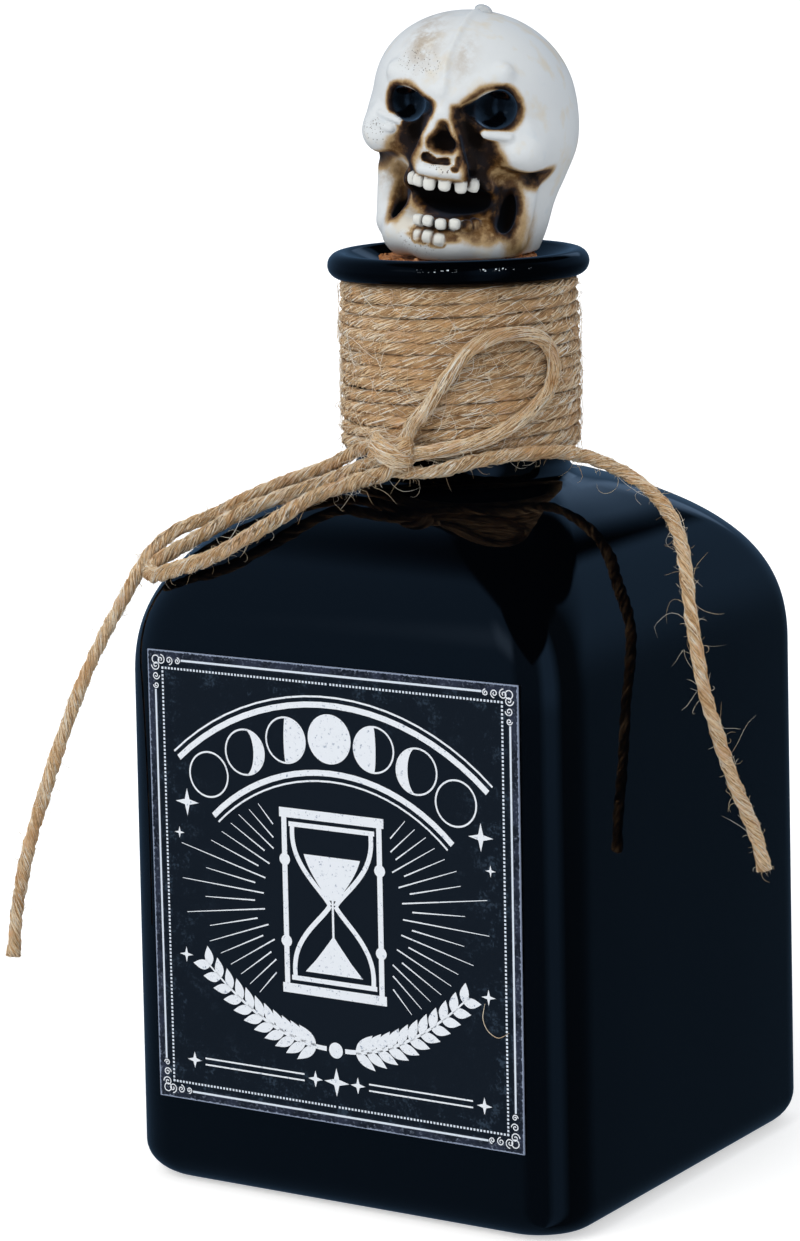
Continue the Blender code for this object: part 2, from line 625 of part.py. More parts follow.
def build_skull(collection, stopper):
    """The moulded skull, the surface of its field, with finer faces in front and cut flat on the cork."""
    ivory = new_material("skull_paint", (0.72, 0.70, 0.62), 0.4)
    halves = np.array((SKULL_BREADTH, SKULL_DEPTH, SKULL_HEIGHT)) / 2
    steps = np.array(SKULL_CELL_SIZES) / halves
    places = [graded_places(*shares, step) for shares, step in zip(SKULL_GRID_SHARES, steps)]
    grid = np.stack(np.meshgrid(*places, indexing="ij"), axis=-1)
    across, back, up = grid.reshape(-1, 3).T
    lean = math.radians(SKULL_LEAN_DEGREES)
    upright = np.stack([across * math.cos(lean) - up * math.sin(lean), back,
                        across * math.sin(lean) + up * math.cos(lean)], axis=1)
    values = np.maximum(skull_field(upright), -up).reshape(grid.shape[:3])
    points, faces = surface_of(filled_pinches(values), places)
    mesh = bpy.data.meshes.new("skull_topper")
    mesh.from_pydata((points * halves).tolist(), [], faces)
    mesh.update()
    smooth_mesh(mesh, SKULL_SHARP_DEGREES)
    skull = add_object("skull_topper", mesh, ivory, collection, stopper)
    turn = math.radians(SKULL_TURN_DEGREES)
    skull.rotation_euler = (0, 0, turn)
    skull.location = (-SKULL_SET_BACK * math.sin(turn), SKULL_SET_BACK * math.cos(turn), SKULL_FOOT)
    return skull


def build_crown_dab(collection, stopper, skull):
    """The clear dab of glue on the crown, a low dome that leans with the skull under it."""
    clear = new_material("clear_glue", (0.85, 0.90, 0.95), 0.15)
    shape = bmesh.new()
    bmesh.ops.create_uvsphere(shape, u_segments=BALL_SIDES, v_segments=BALL_RINGS, radius=DAB_LENGTH / 2)
    bmesh.ops.scale(shape, verts=shape.verts, vec=(1, DAB_WIDTH / DAB_LENGTH, 2 * DAB_HEIGHT / DAB_LENGTH))
    for vert in shape.verts:
        vert.co.z = max(vert.co.z, 0)
    bmesh.ops.remove_doubles(shape, verts=shape.verts, dist=WELD_DISTANCE)
    bmesh.ops.dissolve_limit(shape, angle_limit=math.radians(FLAT_DEGREES), verts=shape.verts,
                             edges=shape.edges)
    mesh = bpy.data.meshes.new("crown_plug")
    shape.to_mesh(mesh)
    shape.free()
    smooth_mesh(mesh)
    dab = add_object("crown_plug", mesh, clear, collection, stopper)
    bpy.context.view_layer.update()
    above = skull.matrix_world.inverted() @ Vector((*DAB_PLACE, SKULL_FOOT + 2 * SKULL_HEIGHT))
    _, place, normal, _ = skull.ray_cast(above, Vector((0, 0, -1)))
    across = skull.matrix_world.to_3x3() @ normal
    dab.location = skull.matrix_world @ place + across * TOUCH_GAP
    dab.rotation_euler = across.to_track_quat("Z", "Y").to_euler()
    return dab


def tube(name, points, diameter, material, collection, resolution):
    """A round tube with filled ends along a run of points, as a curve."""
    curve = bpy.data.curves.new(name, "CURVE")
    curve.dimensions = "3D"
    curve.bevel_depth = diameter / 2
    curve.bevel_resolution = resolution
    curve.use_fill_caps = True
    spline = curve.splines.new("POLY")
    spline.points.add(len(points) - 1)
    for knot, point in zip(spline.points, points):
        knot.co = (*point, 1)
    return add_object(name, curve, material, collection)


def smooth_route(route, spacing):
    """Even points along a smooth curve that passes through a route's own points."""
    places = [Vector(place) for place in route]
    places = [places[0] * 2 - places[1], *places, places[-1] * 2 - places[-2]]
    fine = []
    for before, here, after, beyond in zip(places, places[1:], places[2:], places[3:]):
        for step in range(FINE_STEPS):
            share = step / FINE_STEPS
            fine.append((here * 2 + (after - before) * share
                         + (before * 2 - here * 5 + after * 4 - beyond) * share**2
                         + (here * 3 - before - after * 3 + beyond) * share**3) / 2)
    fine.append(places[-2])
    lengths = np.cumsum([0.0] + [(after - here).length for here, after in zip(fine, fine[1:])])
    count = max(round(lengths[-1] / spacing), 2)
    marks = np.linspace(0, lengths[-1], count + 1)
    columns = [np.interp(marks, lengths, [point[axis] for point in fine]) for axis in range(3)]
    return [Vector(point) for point in zip(*columns)]


def least_gap(points, diameter):
    """The least clear distance between two stretches of one tube that aren't neighbours along it."""
    places = np.array([tuple(point) for point in points])
    steps = np.linalg.norm(np.diff(places, axis=0), axis=1)
    along = np.concatenate(([0.0], np.cumsum(steps)))
    apart = np.linalg.norm(places[:, None] - places[None, :], axis=2)
    neighbours = np.abs(along[:, None] - along[None, :]) < NEIGHBOUR_SHARE * diameter
    apart[neighbours] = np.inf
    return float(apart.min()) - diameter


def winding_points():
    """The turns of twine round the neck, a helix that climbs one pitch a turn."""
    radius = NECK_RADIUS + TOUCH_GAP + WOUND_TWINE_DIAMETER / 2
    foot = NECK_STRAIGHT_FOOT + WINDING_FOOT_MARGIN + WOUND_TWINE_DIAMETER / 2
    head = NECK_TOP - WINDING_TOP_MARGIN - WOUND_TWINE_DIAMETER / 2
    turns = (head - foot) / WINDING_PITCH
    count = int(turns * LOOP_POINTS)
    points = []
    for step in range(count + 1):
        turn = turns * step / count
        angle = 2 * math.pi * turn - math.pi / 2
        height = foot + WINDING_PITCH * turn
        points.append(Vector((radius * math.cos(angle), radius * math.sin(angle), height)))
    return points


def build_winding(collection, jute):
    """The twine wound round the neck, one unbroken tube."""
    points = winding_points()
    print(f"neck_winding: least gap to itself {least_gap(points, WOUND_TWINE_DIAMETER) * 1000:.2f} mm")
    return tube("neck_winding", points, WOUND_TWINE_DIAMETER, jute, collection, 1)


def build_twine(collection, jute):
    """The free twine of the bow: its two loops and its two tails, and the knot that they meet."""
    spacing = TWINE_DIAMETER * TWINE_STEP_SHARE
    routes = {
        "left_tail": LEFT_TAIL_ROUTE,
        "left_loop": LEFT_LOOP_ROUTE,
        "upper_loop": UPPER_LOOP_ROUTE,
        "right_tail": RIGHT_TAIL_ROUTE,
    }
    for name, route in routes.items():
        points = smooth_route(route, spacing)
        gap = least_gap(points, TWINE_DIAMETER) * 1000
        print(f"{name}: {len(points)} points, least gap to itself {gap:.2f} mm")
        tube(name, points, TWINE_DIAMETER, jute, collection, 2)
    build_knot(collection, jute)


def build_knot(collection, jute):
    """The bow's knot, a tight lump of crossed twine."""
    shape = bmesh.new()
    bmesh.ops.create_uvsphere(shape, u_segments=BALL_SIDES, v_segments=BALL_RINGS, radius=KNOT_WIDTH / 2)
    bmesh.ops.scale(shape, verts=shape.verts, vec=(1, KNOT_DEPTH / KNOT_WIDTH, KNOT_HEIGHT / KNOT_WIDTH))
    mesh = bpy.data.meshes.new("bow_knot")
    shape.to_mesh(mesh)
    shape.free()
    mesh.shade_smooth()
    knot = add_object("bow_knot", mesh, jute, collection)
    knot.location = KNOT_PLACE
    return knot


def main():
    """Builds the whole bottle."""
    clear_scene()
    collection = new_collection("decorative_bottle")
    jute = new_material("jute_twine", (0.50, 0.32, 0.15), 0.9)
    stopper = bpy.data.objects.new("stopper_lift", None)
    stopper.location = (0, 0, CORK_TOP)
    collection.objects.link(stopper)
    bpy.context.view_layer.update()
    build_bottle(collection)
    build_label(collection)
    build_cork(collection, stopper)
    build_winding(collection, jute)
    build_twine(collection, jute)
    skull = build_skull(collection, stopper)
    build_crown_dab(collection, stopper, skull)


main()
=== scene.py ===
"""Looks of a decorative bottle of black glass, with a label, twine round its neck and a skull on its cork.

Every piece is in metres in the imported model's frame: the origin is the centre of the base, +Z is up and the
label faces -Y. The camera stands where the photograph was taken from.
"""

import logging
import math
from collections.abc import Callable, Sequence
from dataclasses import dataclass, field
from enum import Enum
from functools import partial

import bpy
import numpy as np
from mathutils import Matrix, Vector
from mathutils.bvhtree import BVHTree


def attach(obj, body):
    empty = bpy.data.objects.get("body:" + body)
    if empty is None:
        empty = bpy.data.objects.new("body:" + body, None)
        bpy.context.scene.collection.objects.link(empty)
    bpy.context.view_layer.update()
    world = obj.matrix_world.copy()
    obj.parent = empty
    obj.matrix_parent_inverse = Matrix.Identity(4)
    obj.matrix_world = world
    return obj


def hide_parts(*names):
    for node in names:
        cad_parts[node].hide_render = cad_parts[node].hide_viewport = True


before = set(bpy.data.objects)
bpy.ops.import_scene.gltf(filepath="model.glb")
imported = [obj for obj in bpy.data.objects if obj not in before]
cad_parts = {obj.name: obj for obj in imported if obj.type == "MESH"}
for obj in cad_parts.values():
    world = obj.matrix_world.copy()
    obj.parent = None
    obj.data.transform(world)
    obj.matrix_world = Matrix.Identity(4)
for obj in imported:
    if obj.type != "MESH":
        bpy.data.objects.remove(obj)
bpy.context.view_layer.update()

LOG = logging.getLogger("bottle")
MM = 0.001
IMAGE_SIZE = (800, 1241)
SMOOTH = {"interpolation_type": "SMOOTHSTEP"}

Point = tuple[float, float, float]
Tree = bpy.types.NodeTree
Socket = bpy.types.NodeSocket
Inputs = dict | Sequence
Adder = Callable[..., Socket]


class Body(Enum):
    """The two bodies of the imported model."""

    BOTTLE = "bottle"
    STOPPER = "stopper"


class Slot(Enum):
    """The record's material slots."""

    GLASS = "black_glass"
    LABEL = "label_print"
    CORK = "cork"
    SKULL = "skull_paint"
    GLUE = "clear_glue"
    TWINE = "jute_twine"


def linear(colour: str, alpha: float = 1.0) -> tuple[float, float, float, float]:
    """Turns an sRGB hex colour into linear values.

    Args:
        colour: six hex digits after a hash sign.
        alpha: the fourth value.

    Returns:
        Linear red, green and blue, and alpha.
    """
    parts = [int(colour[place:place + 2], 16) / 255 for place in (1, 3, 5)]
    light = [part / 12.92 if part <= 0.04045 else ((part + 0.055) / 1.055) ** 2.4 for part in parts]
    return *light, alpha


def set_inputs(tree: Tree, node: bpy.types.Node, inputs: Inputs) -> None:
    """Sets or links a node's inputs.

    Args:
        tree: the node's tree.
        node: the node.
        inputs: values, or the sockets that it reads, in the inputs' order or by their names or places.
    """
    for key, value in inputs.items() if isinstance(inputs, dict) else enumerate(inputs):
        if isinstance(value, bpy.types.NodeSocket):
            tree.links.new(value, node.inputs[key])
        else:
            node.inputs[key].default_value = value


def add_node(tree: Tree, kind: str, inputs: Inputs = (), output: int | str = 0,
             stops: Sequence[tuple[float, str]] = (), **settings: object) -> Socket:
    """Adds a shader node with its settings and links.

    Args:
        tree: the node tree it goes in.
        kind: the node's type name, after its ShaderNode.
        inputs: its values and the sockets that it reads.
        output: the name or place of the wanted output.
        stops: a colour ramp's places from 0 to 1, each with its sRGB hex colour.
        **settings: the node's own properties.

    Returns:
        The wanted output's socket.
    """
    node = tree.nodes.new(f"ShaderNode{kind}")
    for name, value in settings.items():
        setattr(node, name, value)
    set_inputs(tree, node, inputs)
    if stops:
        elements = node.color_ramp.elements
        while len(elements) < len(stops):
            elements.new(0.5)
        for element, (place, colour) in zip(elements, stops):
            element.position, element.color = place, linear(colour)
    return node.outputs[output]


def blotches(place: Socket, size: float, detail: float, rough: float) -> dict:
    """Returns a noise texture's inputs for blotches of a real size.

    Args:
        place: the coordinates, in metres.
        size: the blotches' size in metres.
        detail: how many finer octaves they have.
        rough: how strong the finer octaves are.

    Returns:
        The inputs by name.
    """
    return {"Vector": place, "Scale": 1 / size, "Detail": detail, "Roughness": rough}


def lay_over(add: Adder, colour: Socket | tuple, *layers: tuple[Socket, str]) -> Socket:
    """Lays colours over one another.

    Args:
        add: adds a node to the tree.
        colour: the lowest colour.
        *layers: how much of each next colour, and its sRGB hex value.

    Returns:
        The socket of the result.
    """
    for share, over in layers:
        colour = add("Mix", {0: share, 6: colour, 7: linear(over)}, data_type="RGBA", output=2)
    return colour


def reach_from_axis(add: Adder, place: Socket) -> Socket:
    """Returns how far a place is from the upright axis."""
    flat = add("VectorMath", (place, (1.0, 1.0, 0.0)), operation="MULTIPLY")
    return add("VectorMath", (flat,), output="Value", operation="LENGTH")


@dataclass(frozen=True)
class Finish:
    """A material, made once and then shared by the pieces that have it."""

    name: str

    def material(self) -> bpy.types.Material:
        """Returns the finish's material, and makes it the first time."""
        made = bpy.data.materials.get(self.name)
        if made is None:
            made = bpy.data.materials.new(self.name)
            made.use_nodes = True
            tree = made.node_tree
            set_inputs(tree, tree.nodes["Principled BSDF"], self.dress(partial(add_node, tree)))
        return made

    def dress(self, add: Adder) -> Inputs:
        """Adds the pattern nodes, and returns the shader's values and sockets by name."""
        raise NotImplementedError


@dataclass(frozen=True)
class BlackGlass(Finish):
    """Blown soda glass, black all through: what shows is what its polished skin mirrors, with painted glints
    that glow along the lip.
    """

    name: str = "blown_black_glass"
    colour: str = "#020305"
    roughness: float = 0.035
    wave_size: float = 26 * MM
    wave_depth: float = 0.05 * MM
    shine: float = 0.5
    lip_shine: float = 0.14
    lip_edge: tuple[float, float] = (166.6 * MM, 167.4 * MM)
    # Painted glints: small glowing specks in two bands round the front of the lip stand in for highlights.
    glint_size: float = 0.45 * MM
    glint_rows: tuple[tuple[float, float], ...] = ((170.35 * MM, 170.5 * MM), (170.95 * MM, 170.8 * MM))
    glint_reach: tuple[float, float] = (22.2 * MM, 22.6 * MM)
    glint_groups: tuple[tuple[float, float], ...] = ((5.0 * MM, 12.5 * MM), (15.5 * MM, 22.0 * MM))
    glint_group_edge: float = 1 * MM
    glint_colour: str = "#e6f0fa"
    glint_strength: float = 1.2

    def dress(self, add: Adder) -> Inputs:
        """Sets a black polish with slight waves, and a duller lip with painted glints, small glowing specks,
        along it.
        """
        place = add("TexCoord", output="Object")
        axes = add("SeparateXYZ", (place,)).node.outputs
        waves = add("TexNoise", blotches(place, self.wave_size, 1.0, 0.55))
        spots = add("TexNoise", blotches(place, self.glint_size, 2.0, 0.6))
        # Painted glints: emission in specks, kept to two bands of height, one reach from the axis and two
        # spans across the front.
        painted_glints = add("MapRange", (spots, 0.60, 0.68, 0.0, self.glint_strength), **SMOOTH)
        for window in ((axes["Z"], *self.glint_rows[0]), (axes["Z"], *self.glint_rows[1]),
                       (reach_from_axis(add, place), *self.glint_reach)):
            painted_glints = add("Math", (painted_glints, add("MapRange", window, **SMOOTH)), operation="MULTIPLY")
        glint_spans = 0.0
        for left, right in self.glint_groups:
            rise = add("MapRange", (axes["X"], left, left + self.glint_group_edge), **SMOOTH)
            fall = add("MapRange", (axes["X"], right, right - self.glint_group_edge), **SMOOTH)
            glint_spans = add("Math", (rise, fall, glint_spans), operation="MULTIPLY_ADD")
        shine = add("MapRange", (axes["Z"], *self.lip_edge, self.shine, self.lip_shine), **SMOOTH)
        return {"Base Color": linear(self.colour), "Roughness": self.roughness, "IOR": 1.5,
                "Normal": add("Bump", {"Distance": self.wave_depth, "Height": waves}),
                "Specular IOR Level": shine,
                "Emission Color": linear(self.glint_colour),
                "Emission Strength": add("Math", (painted_glints, glint_spans), operation="MULTIPLY")}


@dataclass(frozen=True)
class JuteFibre(Finish):
    """Spun jute: dry bast fibre, matt, in long streaks of straw, tan and brown that follow the plies, all
    darker than the laid fibres as painted shade in the gaps between them.
    """

    name: str = "spun_jute_painted_shade"
    # These tones are partly the fibre's own streaks and partly painted shade: darker than the laid fibres,
    # they stand for the shade between them and darken the strand's mirror image.
    pale: str = "#c8a57a"
    middle: str = "#a58058"
    core_shade_dark: str = "#4f361c"
    fibre_width: float = 0.16 * MM
    fibre_length: float = 2.6 * MM
    fibre_depth: float = 0.12 * MM
    patch_size: float = 5 * MM

    def dress(self, add: Adder) -> Inputs:
        """Lays fibre streaks along the twine's own map, in which u goes round and v along, in metres."""
        spun = add("UVMap", uv_map="spun")
        stretched = add("Mapping",
                        {"Vector": spun, "Scale": (1 / self.fibre_width, 1 / self.fibre_length, 1.0)})
        streaks = add("TexNoise", blotches(stretched, 1.0, 4.0, 0.6))
        place = add("TexCoord", output="Object")
        patches = add("TexNoise", blotches(place, self.patch_size, 2.0, 0.55))
        streaked = add("Math", (streaks, 0.75), operation="MULTIPLY")
        tone = add("Math", (patches, 0.5, streaked), operation="MULTIPLY_ADD")
        colour = add("ValToRGB", (tone,), stops=((0.38, self.core_shade_dark), (0.56, self.middle), (0.80, self.pale)))
        return {"Base Color": colour, "Roughness": 0.85, "Specular IOR Level": 0.3, "Sheen Weight": 0.15,
                "Sheen Roughness": 0.5,
                "Normal": add("Bump", {"Distance": self.fibre_depth, "Height": streaks})}


@dataclass(frozen=True)
class LaidFibre(Finish):
    """Jute fibres on the twine's skin: most are tan, some brown, and a few pale and silky."""

    name: str = "laid_jute_fibre"
    tones: tuple[tuple[float, str], ...] = ((0.0, "#bd9162"), (0.15, "#e3bc8b"), (0.5, "#f3dab4"),
                                            (0.85, "#faead2"), (1.0, "#fffcf4"))
    ginger: str = "#d8a064"
    ginger_share: float = 0.45
    tone_size: float = 2 * MM
    ginger_size: float = 5 * MM

    def dress(self, add: Adder) -> Inputs:
        """Colours each fibre by its own tone, a little uneven along it."""
        place = add("TexCoord", output="Object")
        tone = add("Attribute", output="Fac", attribute_name="tone")
        fine = add("TexNoise", blotches(place, self.tone_size, 2.0, 0.55))
        broad = add("TexNoise", blotches(place, self.ginger_size, 2.0, 0.55))
        uneven = add("Math", (fine, 0.5, -0.25), operation="MULTIPLY_ADD")
        colour = add("ValToRGB", (add("Math", (tone, uneven), operation="ADD"),), stops=self.tones)
        tint = add("MapRange", (broad, 0.50, 0.68, 0.0, self.ginger_share), **SMOOTH)
        colour = self.shade(add, place, lay_over(add, colour, (tint, self.ginger)))
        return {"Base Color": colour, "Roughness": 0.6, "Specular IOR Level": 0.4}

    def shade(self, add: Adder, place: Socket, colour: Socket) -> Socket:
        """Leaves the colour as it is."""
        return colour


@dataclass(frozen=True)
class WoundFibre(LaidFibre):
    """The fibres of the twine wound round the neck: they darken towards the grooves between its turns, as
    painted shade.
    """

    name: str = "wound_jute_fibre"
    groove: tuple[float, float] = (21.35 * MM, 22.05 * MM)
    groove_shade_colour: str = "#5a3d20"
    groove_shade_share: float = 0.5
    uneven_size: float = 4 * MM
    uneven_height: float = 0.9 * MM

    def shade(self, add: Adder, place: Socket, colour: Socket) -> Socket:
        """Darkens the colour by how far inside the turns' crests a fibre lies: painted shade in the grooves.
        """
        uneven = add("TexNoise", blotches(place, self.uneven_size, 2.0, 0.55))
        uneven = add("Math", (uneven, self.uneven_height, -self.uneven_height / 2), operation="MULTIPLY_ADD")
        height = add("Math", (reach_from_axis(add, place), uneven), operation="ADD")
        # Painted shade: fibres that lie deep between the turns are darkened towards the groove colour.
        groove_shade = add("MapRange", (height, *self.groove, self.groove_shade_share, 0.0), **SMOOTH)
        return lay_over(add, colour, (groove_shade, self.groove_shade_colour))


@dataclass(frozen=True)
class LooseFibre(LaidFibre):
    """Single jute fibres that stand off the twine, paler than the spun strand as light gets round them."""

    name: str = "loose_jute_fibre"
    tones: tuple[tuple[float, str], ...] = ((0.0, "#c4a478"), (0.3, "#e0caa6"), (0.7, "#f2e7d2"),
                                            (1.0, "#fffaf0"))


def bare(thing: bpy.types.Object) -> bpy.types.Object:
    """Applies an object's place, so that its mesh holds it and the object sits at the origin."""
    bpy.ops.object.select_all(action="DESELECT")
    thing.select_set(True)
    bpy.context.view_layer.objects.active = thing
    bpy.ops.object.transform_apply(location=True, rotation=True, scale=True)
    return thing


def joined(things: Sequence[bpy.types.Object], name: str) -> bpy.types.Object:
    """Joins objects into one, which keeps the first one's mesh and takes the name."""
    bpy.ops.object.select_all(action="DESELECT")
    for thing in things:
        thing.select_set(True)
    bpy.context.view_layer.objects.active = things[0]
    bpy.ops.object.join()
    things[0].name = name
    return things[0]


def mesh_piece(name: str, points: np.ndarray, faces: Sequence[Sequence[int]], finish: Finish,
               spun: np.ndarray | None = None) -> bpy.types.Object:
    """Makes a smooth-shaded piece from points and faces.

    Args:
        name: the piece's name.
        points: the points, in metres.
        faces: for each face, the numbers of its points.
        finish: its finish.
        spun: for each corner of each face, its place on the map that runs round and along a strand.

    Returns:
        The new object.
    """
    mesh = bpy.data.meshes.new(name)
    mesh.from_pydata(np.asarray(points).tolist(), [], [list(map(int, face)) for face in faces])
    mesh.update()
    if spun is not None:
        mesh.uv_layers.new(name="spun").data.foreach_set("uv", np.asarray(spun, dtype=np.float32).ravel())
    mesh.shade_smooth()
    mesh.materials.append(finish.material())
    thing = bpy.data.objects.new(name, mesh)
    bpy.context.scene.collection.objects.link(thing)
    return thing


def settle(thing: bpy.types.Object, body: Body, slot: Slot, *nodes: str,
           mirrored: bool = True) -> bpy.types.Object:
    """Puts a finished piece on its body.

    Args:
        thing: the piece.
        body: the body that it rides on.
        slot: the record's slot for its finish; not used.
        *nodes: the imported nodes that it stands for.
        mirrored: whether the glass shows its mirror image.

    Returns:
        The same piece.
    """
    thing.visible_glossy = mirrored
    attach(thing, body.value)
    if nodes:
        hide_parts(*nodes)
    LOG.info("%s: %d faces on %s", thing.name, len(thing.data.polygons), body.value)
    return thing


def ring_quads(index: np.ndarray) -> list[list[int]]:
    """Joins rings of points by four-sided faces.

    Args:
        index: the points' numbers, with the rings along the last way but one and each ring along the last.

    Returns:
        The four numbers of each face.
    """
    after = np.roll(index, -1, axis=-1)
    return np.stack([index[..., :-1, :], after[..., :-1, :], after[..., 1:, :], index[..., 1:, :]],
                    axis=-1).reshape(-1, 4).tolist()


def measured(line: np.ndarray) -> np.ndarray:
    """Returns how far along a line each of its points lies."""
    return np.concatenate(([0.0], np.cumsum(np.linalg.norm(np.diff(line, axis=0), axis=1))))


def smooth_route(route: Sequence[Point], spacing: float) -> np.ndarray:
    """Lays even points on a smooth curve through a route's own points.

    Args:
        route: the route's points, in metres.
        spacing: how far apart the even points are.

    Returns:
        The even points.
    """
    places = np.array(route, dtype=float)
    places = np.vstack([places[0] * 2 - places[1], places, places[-1] * 2 - places[-2]])
    fine = []
    for before, here, after, beyond in zip(places, places[1:], places[2:], places[3:]):
        for share in np.arange(0, 1, 1 / 24):
            fine.append((here * 2 + (after - before) * share
                         + (before * 2 - here * 5 + after * 4 - beyond) * share**2
                         + (here * 3 - before - after * 3 + beyond) * share**3) / 2)
    fine.append(places[-2])
    fine = np.array(fine)
    lengths = measured(fine)
    marks = np.linspace(0, lengths[-1], max(int(lengths[-1] / spacing), 2) + 1)
    return np.stack([np.interp(marks, lengths, fine[:, axis]) for axis in range(3)], axis=1)


def unit(vectors: np.ndarray) -> np.ndarray:
    """Returns vectors of length one in the same directions."""
    return vectors / np.maximum(np.linalg.norm(vectors, axis=-1, keepdims=True), 1e-12)


@dataclass
class Clearance:
    """Keeps loose fibres from running into the glass."""

    tree: BVHTree
    gap: float = 0.12 * MM

    def push(self, points: np.ndarray) -> np.ndarray:
        """Moves the points that lie in or against the glass out of it.

        Args:
            points: any points, in metres.

        Returns:
            The same points, none nearer the glass than the gap.
        """
        out = points.copy()
        for place in range(len(out)):
            near, normal, _, _ = self.tree.find_nearest(Vector(out[place]), 8 * MM)
            if near is not None:
                depth = (Vector(out[place]) - near).dot(normal)
                if depth < self.gap:
                    out[place] = near + normal * self.gap
        return out


@dataclass
class Strand:
    """A run of spun twine: grooved plies round a middle line, with laid and loose fibres."""

    name: str
    middle: np.ndarray
    diameter: float
    lay: float
    plies: int = 3
    sides: int = 18
    seed: int = 1
    relief: float = 0.6
    end_swell: float = 0.0

    def __post_init__(self) -> None:
        """Measures along the strand and carries two crossways axes along it with no turn of their own."""
        self.reach = measured(self.middle)
        self.length = float(self.reach[-1])
        self.along = unit(np.gradient(self.middle, axis=0))
        self.first = np.zeros_like(self.along)
        side = np.array((0.0, 0.0, 1.0)) if abs(self.along[0][2]) < 0.9 else np.array((1.0, 0.0, 0.0))
        for step, direction in enumerate(self.along):
            side = unit(side - direction * direction.dot(side))
            self.first[step] = side
        self.second = np.cross(self.along, self.first)
        rng = np.random.default_rng(self.seed)
        marks = np.arange(0, self.length + 0.01, 0.003)
        self.girth = np.interp(self.reach, marks, 1 + 0.07 * rng.standard_normal(len(marks)))
        self.girth *= 1 + self.end_swell * np.clip(1 - (self.length - self.reach) / (2 * self.diameter), 0, 1)

    def outline(self, angles: np.ndarray) -> np.ndarray:
        """Returns the outline of round plies side by side, as shares of the strand's radius."""
        sector = 2 * math.pi / self.plies
        away = (angles + sector / 2) % sector - sector / 2
        offset, ply = 0.42, 0.58
        plied = offset * np.cos(away) + np.sqrt(ply**2 - (offset * np.sin(away)) ** 2)
        return 1 - (1 - plied) * self.relief

    def at(self, reach: np.ndarray, angle: np.ndarray, height: np.ndarray | float) -> np.ndarray:
        """Returns places on the strand.

        Args:
            reach: how far along each lies.
            angle: how far round each lies, before the twist.
            height: how far each lies above the strand's skin.

        Returns:
            The places.
        """
        turned = angle - reach * 2 * math.pi / self.lay
        radius = self.outline(angle) * np.interp(reach, self.reach, self.girth) * self.diameter / 2 + height
        middle, first, second = (
            np.stack([np.interp(reach, self.reach, line[:, axis]) for axis in range(3)], axis=-1)
            for line in (self.middle, self.first, self.second))
        turned, radius = turned[..., None], radius[..., None]
        return middle + radius * (np.cos(turned) * first + np.sin(turned) * second)

    def build(self, finish: Finish) -> bpy.types.Object:
        """Sweeps the plied outline along the strand.

        Args:
            finish: the twine's finish.

        Returns:
            The strand as one closed mesh.
        """
        turn = np.arange(self.sides) * 2 * math.pi / self.sides
        reach, angle = np.meshgrid(self.reach, turn, indexing="ij")
        points = self.at(reach, angle, 0.0)
        rings, sides = reach.shape
        index = np.arange(rings * sides).reshape(rings, sides)
        round_u = np.append(turn, 2 * math.pi) * self.diameter / 2
        u = np.stack([round_u[:-1], round_u[1:], round_u[1:], round_u[:-1]], axis=-1)
        v = np.stack([self.reach[:-1], self.reach[:-1], self.reach[1:], self.reach[1:]], axis=-1)
        spun = np.stack([np.broadcast_to(u[None], (rings - 1, sides, 4)),
                         np.broadcast_to(v[:, None], (rings - 1, sides, 4))], axis=-1).reshape(-1, 2)
        faces = [*ring_quads(index), index[0][::-1], index[-1]]
        return mesh_piece(self.name, points.reshape(-1, 3), faces, finish,
                          np.vstack([spun, np.zeros((2 * sides, 2))]))

    def laid(self, each: float, long: float, lift: float, clear: Clearance,
             facing: Callable[[np.ndarray], np.ndarray] | None = None, steps: int = 7) -> np.ndarray:
        """Lays fibres over the strand, each with a twist and a height of its own.

        Args:
            each: the length of strand for each fibre.
            long: a fibre's usual length.
            lift: how high the highest stand over the skin.
            clear: what keeps the fibres out of the glass.
            facing: for each place along the strand, the direction that the fibres gather towards.
            steps: how many points each fibre has.

        Returns:
            The points along each fibre.
        """
        rng = np.random.default_rng(self.seed + 200)
        count = int(self.length / each)
        length = long * rng.uniform(0.5, 1.5, count)
        start = rng.uniform(-0.3 * long, self.length - 0.4 * long, count)
        share = np.linspace(0, 1, steps)
        reach = np.clip(start[:, None] + length[:, None] * share, 0, self.length)
        if facing is None:
            angle = rng.uniform(0, 2 * math.pi, count)
        else:
            spot = np.searchsorted(self.reach, reach[:, steps // 2]).clip(0, len(self.reach) - 1)
            toward = facing(self.middle[spot])
            out = np.arctan2((toward * self.second[spot]).sum(axis=1),
                             (toward * self.first[spot]).sum(axis=1))
            angle = out + self.reach[spot] * 2 * math.pi / self.lay + rng.uniform(-2.0, 2.0, count)
        drift = rng.normal(0, 0.75, count)[:, None] * (share - 0.5) + rng.normal(0, 0.05, (count, steps))
        height = lift * rng.random(count)[:, None] * np.sin(math.pi * share) ** 0.5
        height = height * rng.uniform(0.4, 1, (count, steps))
        points = self.at(reach, angle[:, None] + drift, height)
        return clear.push(points.reshape(-1, 3)).reshape(points.shape)

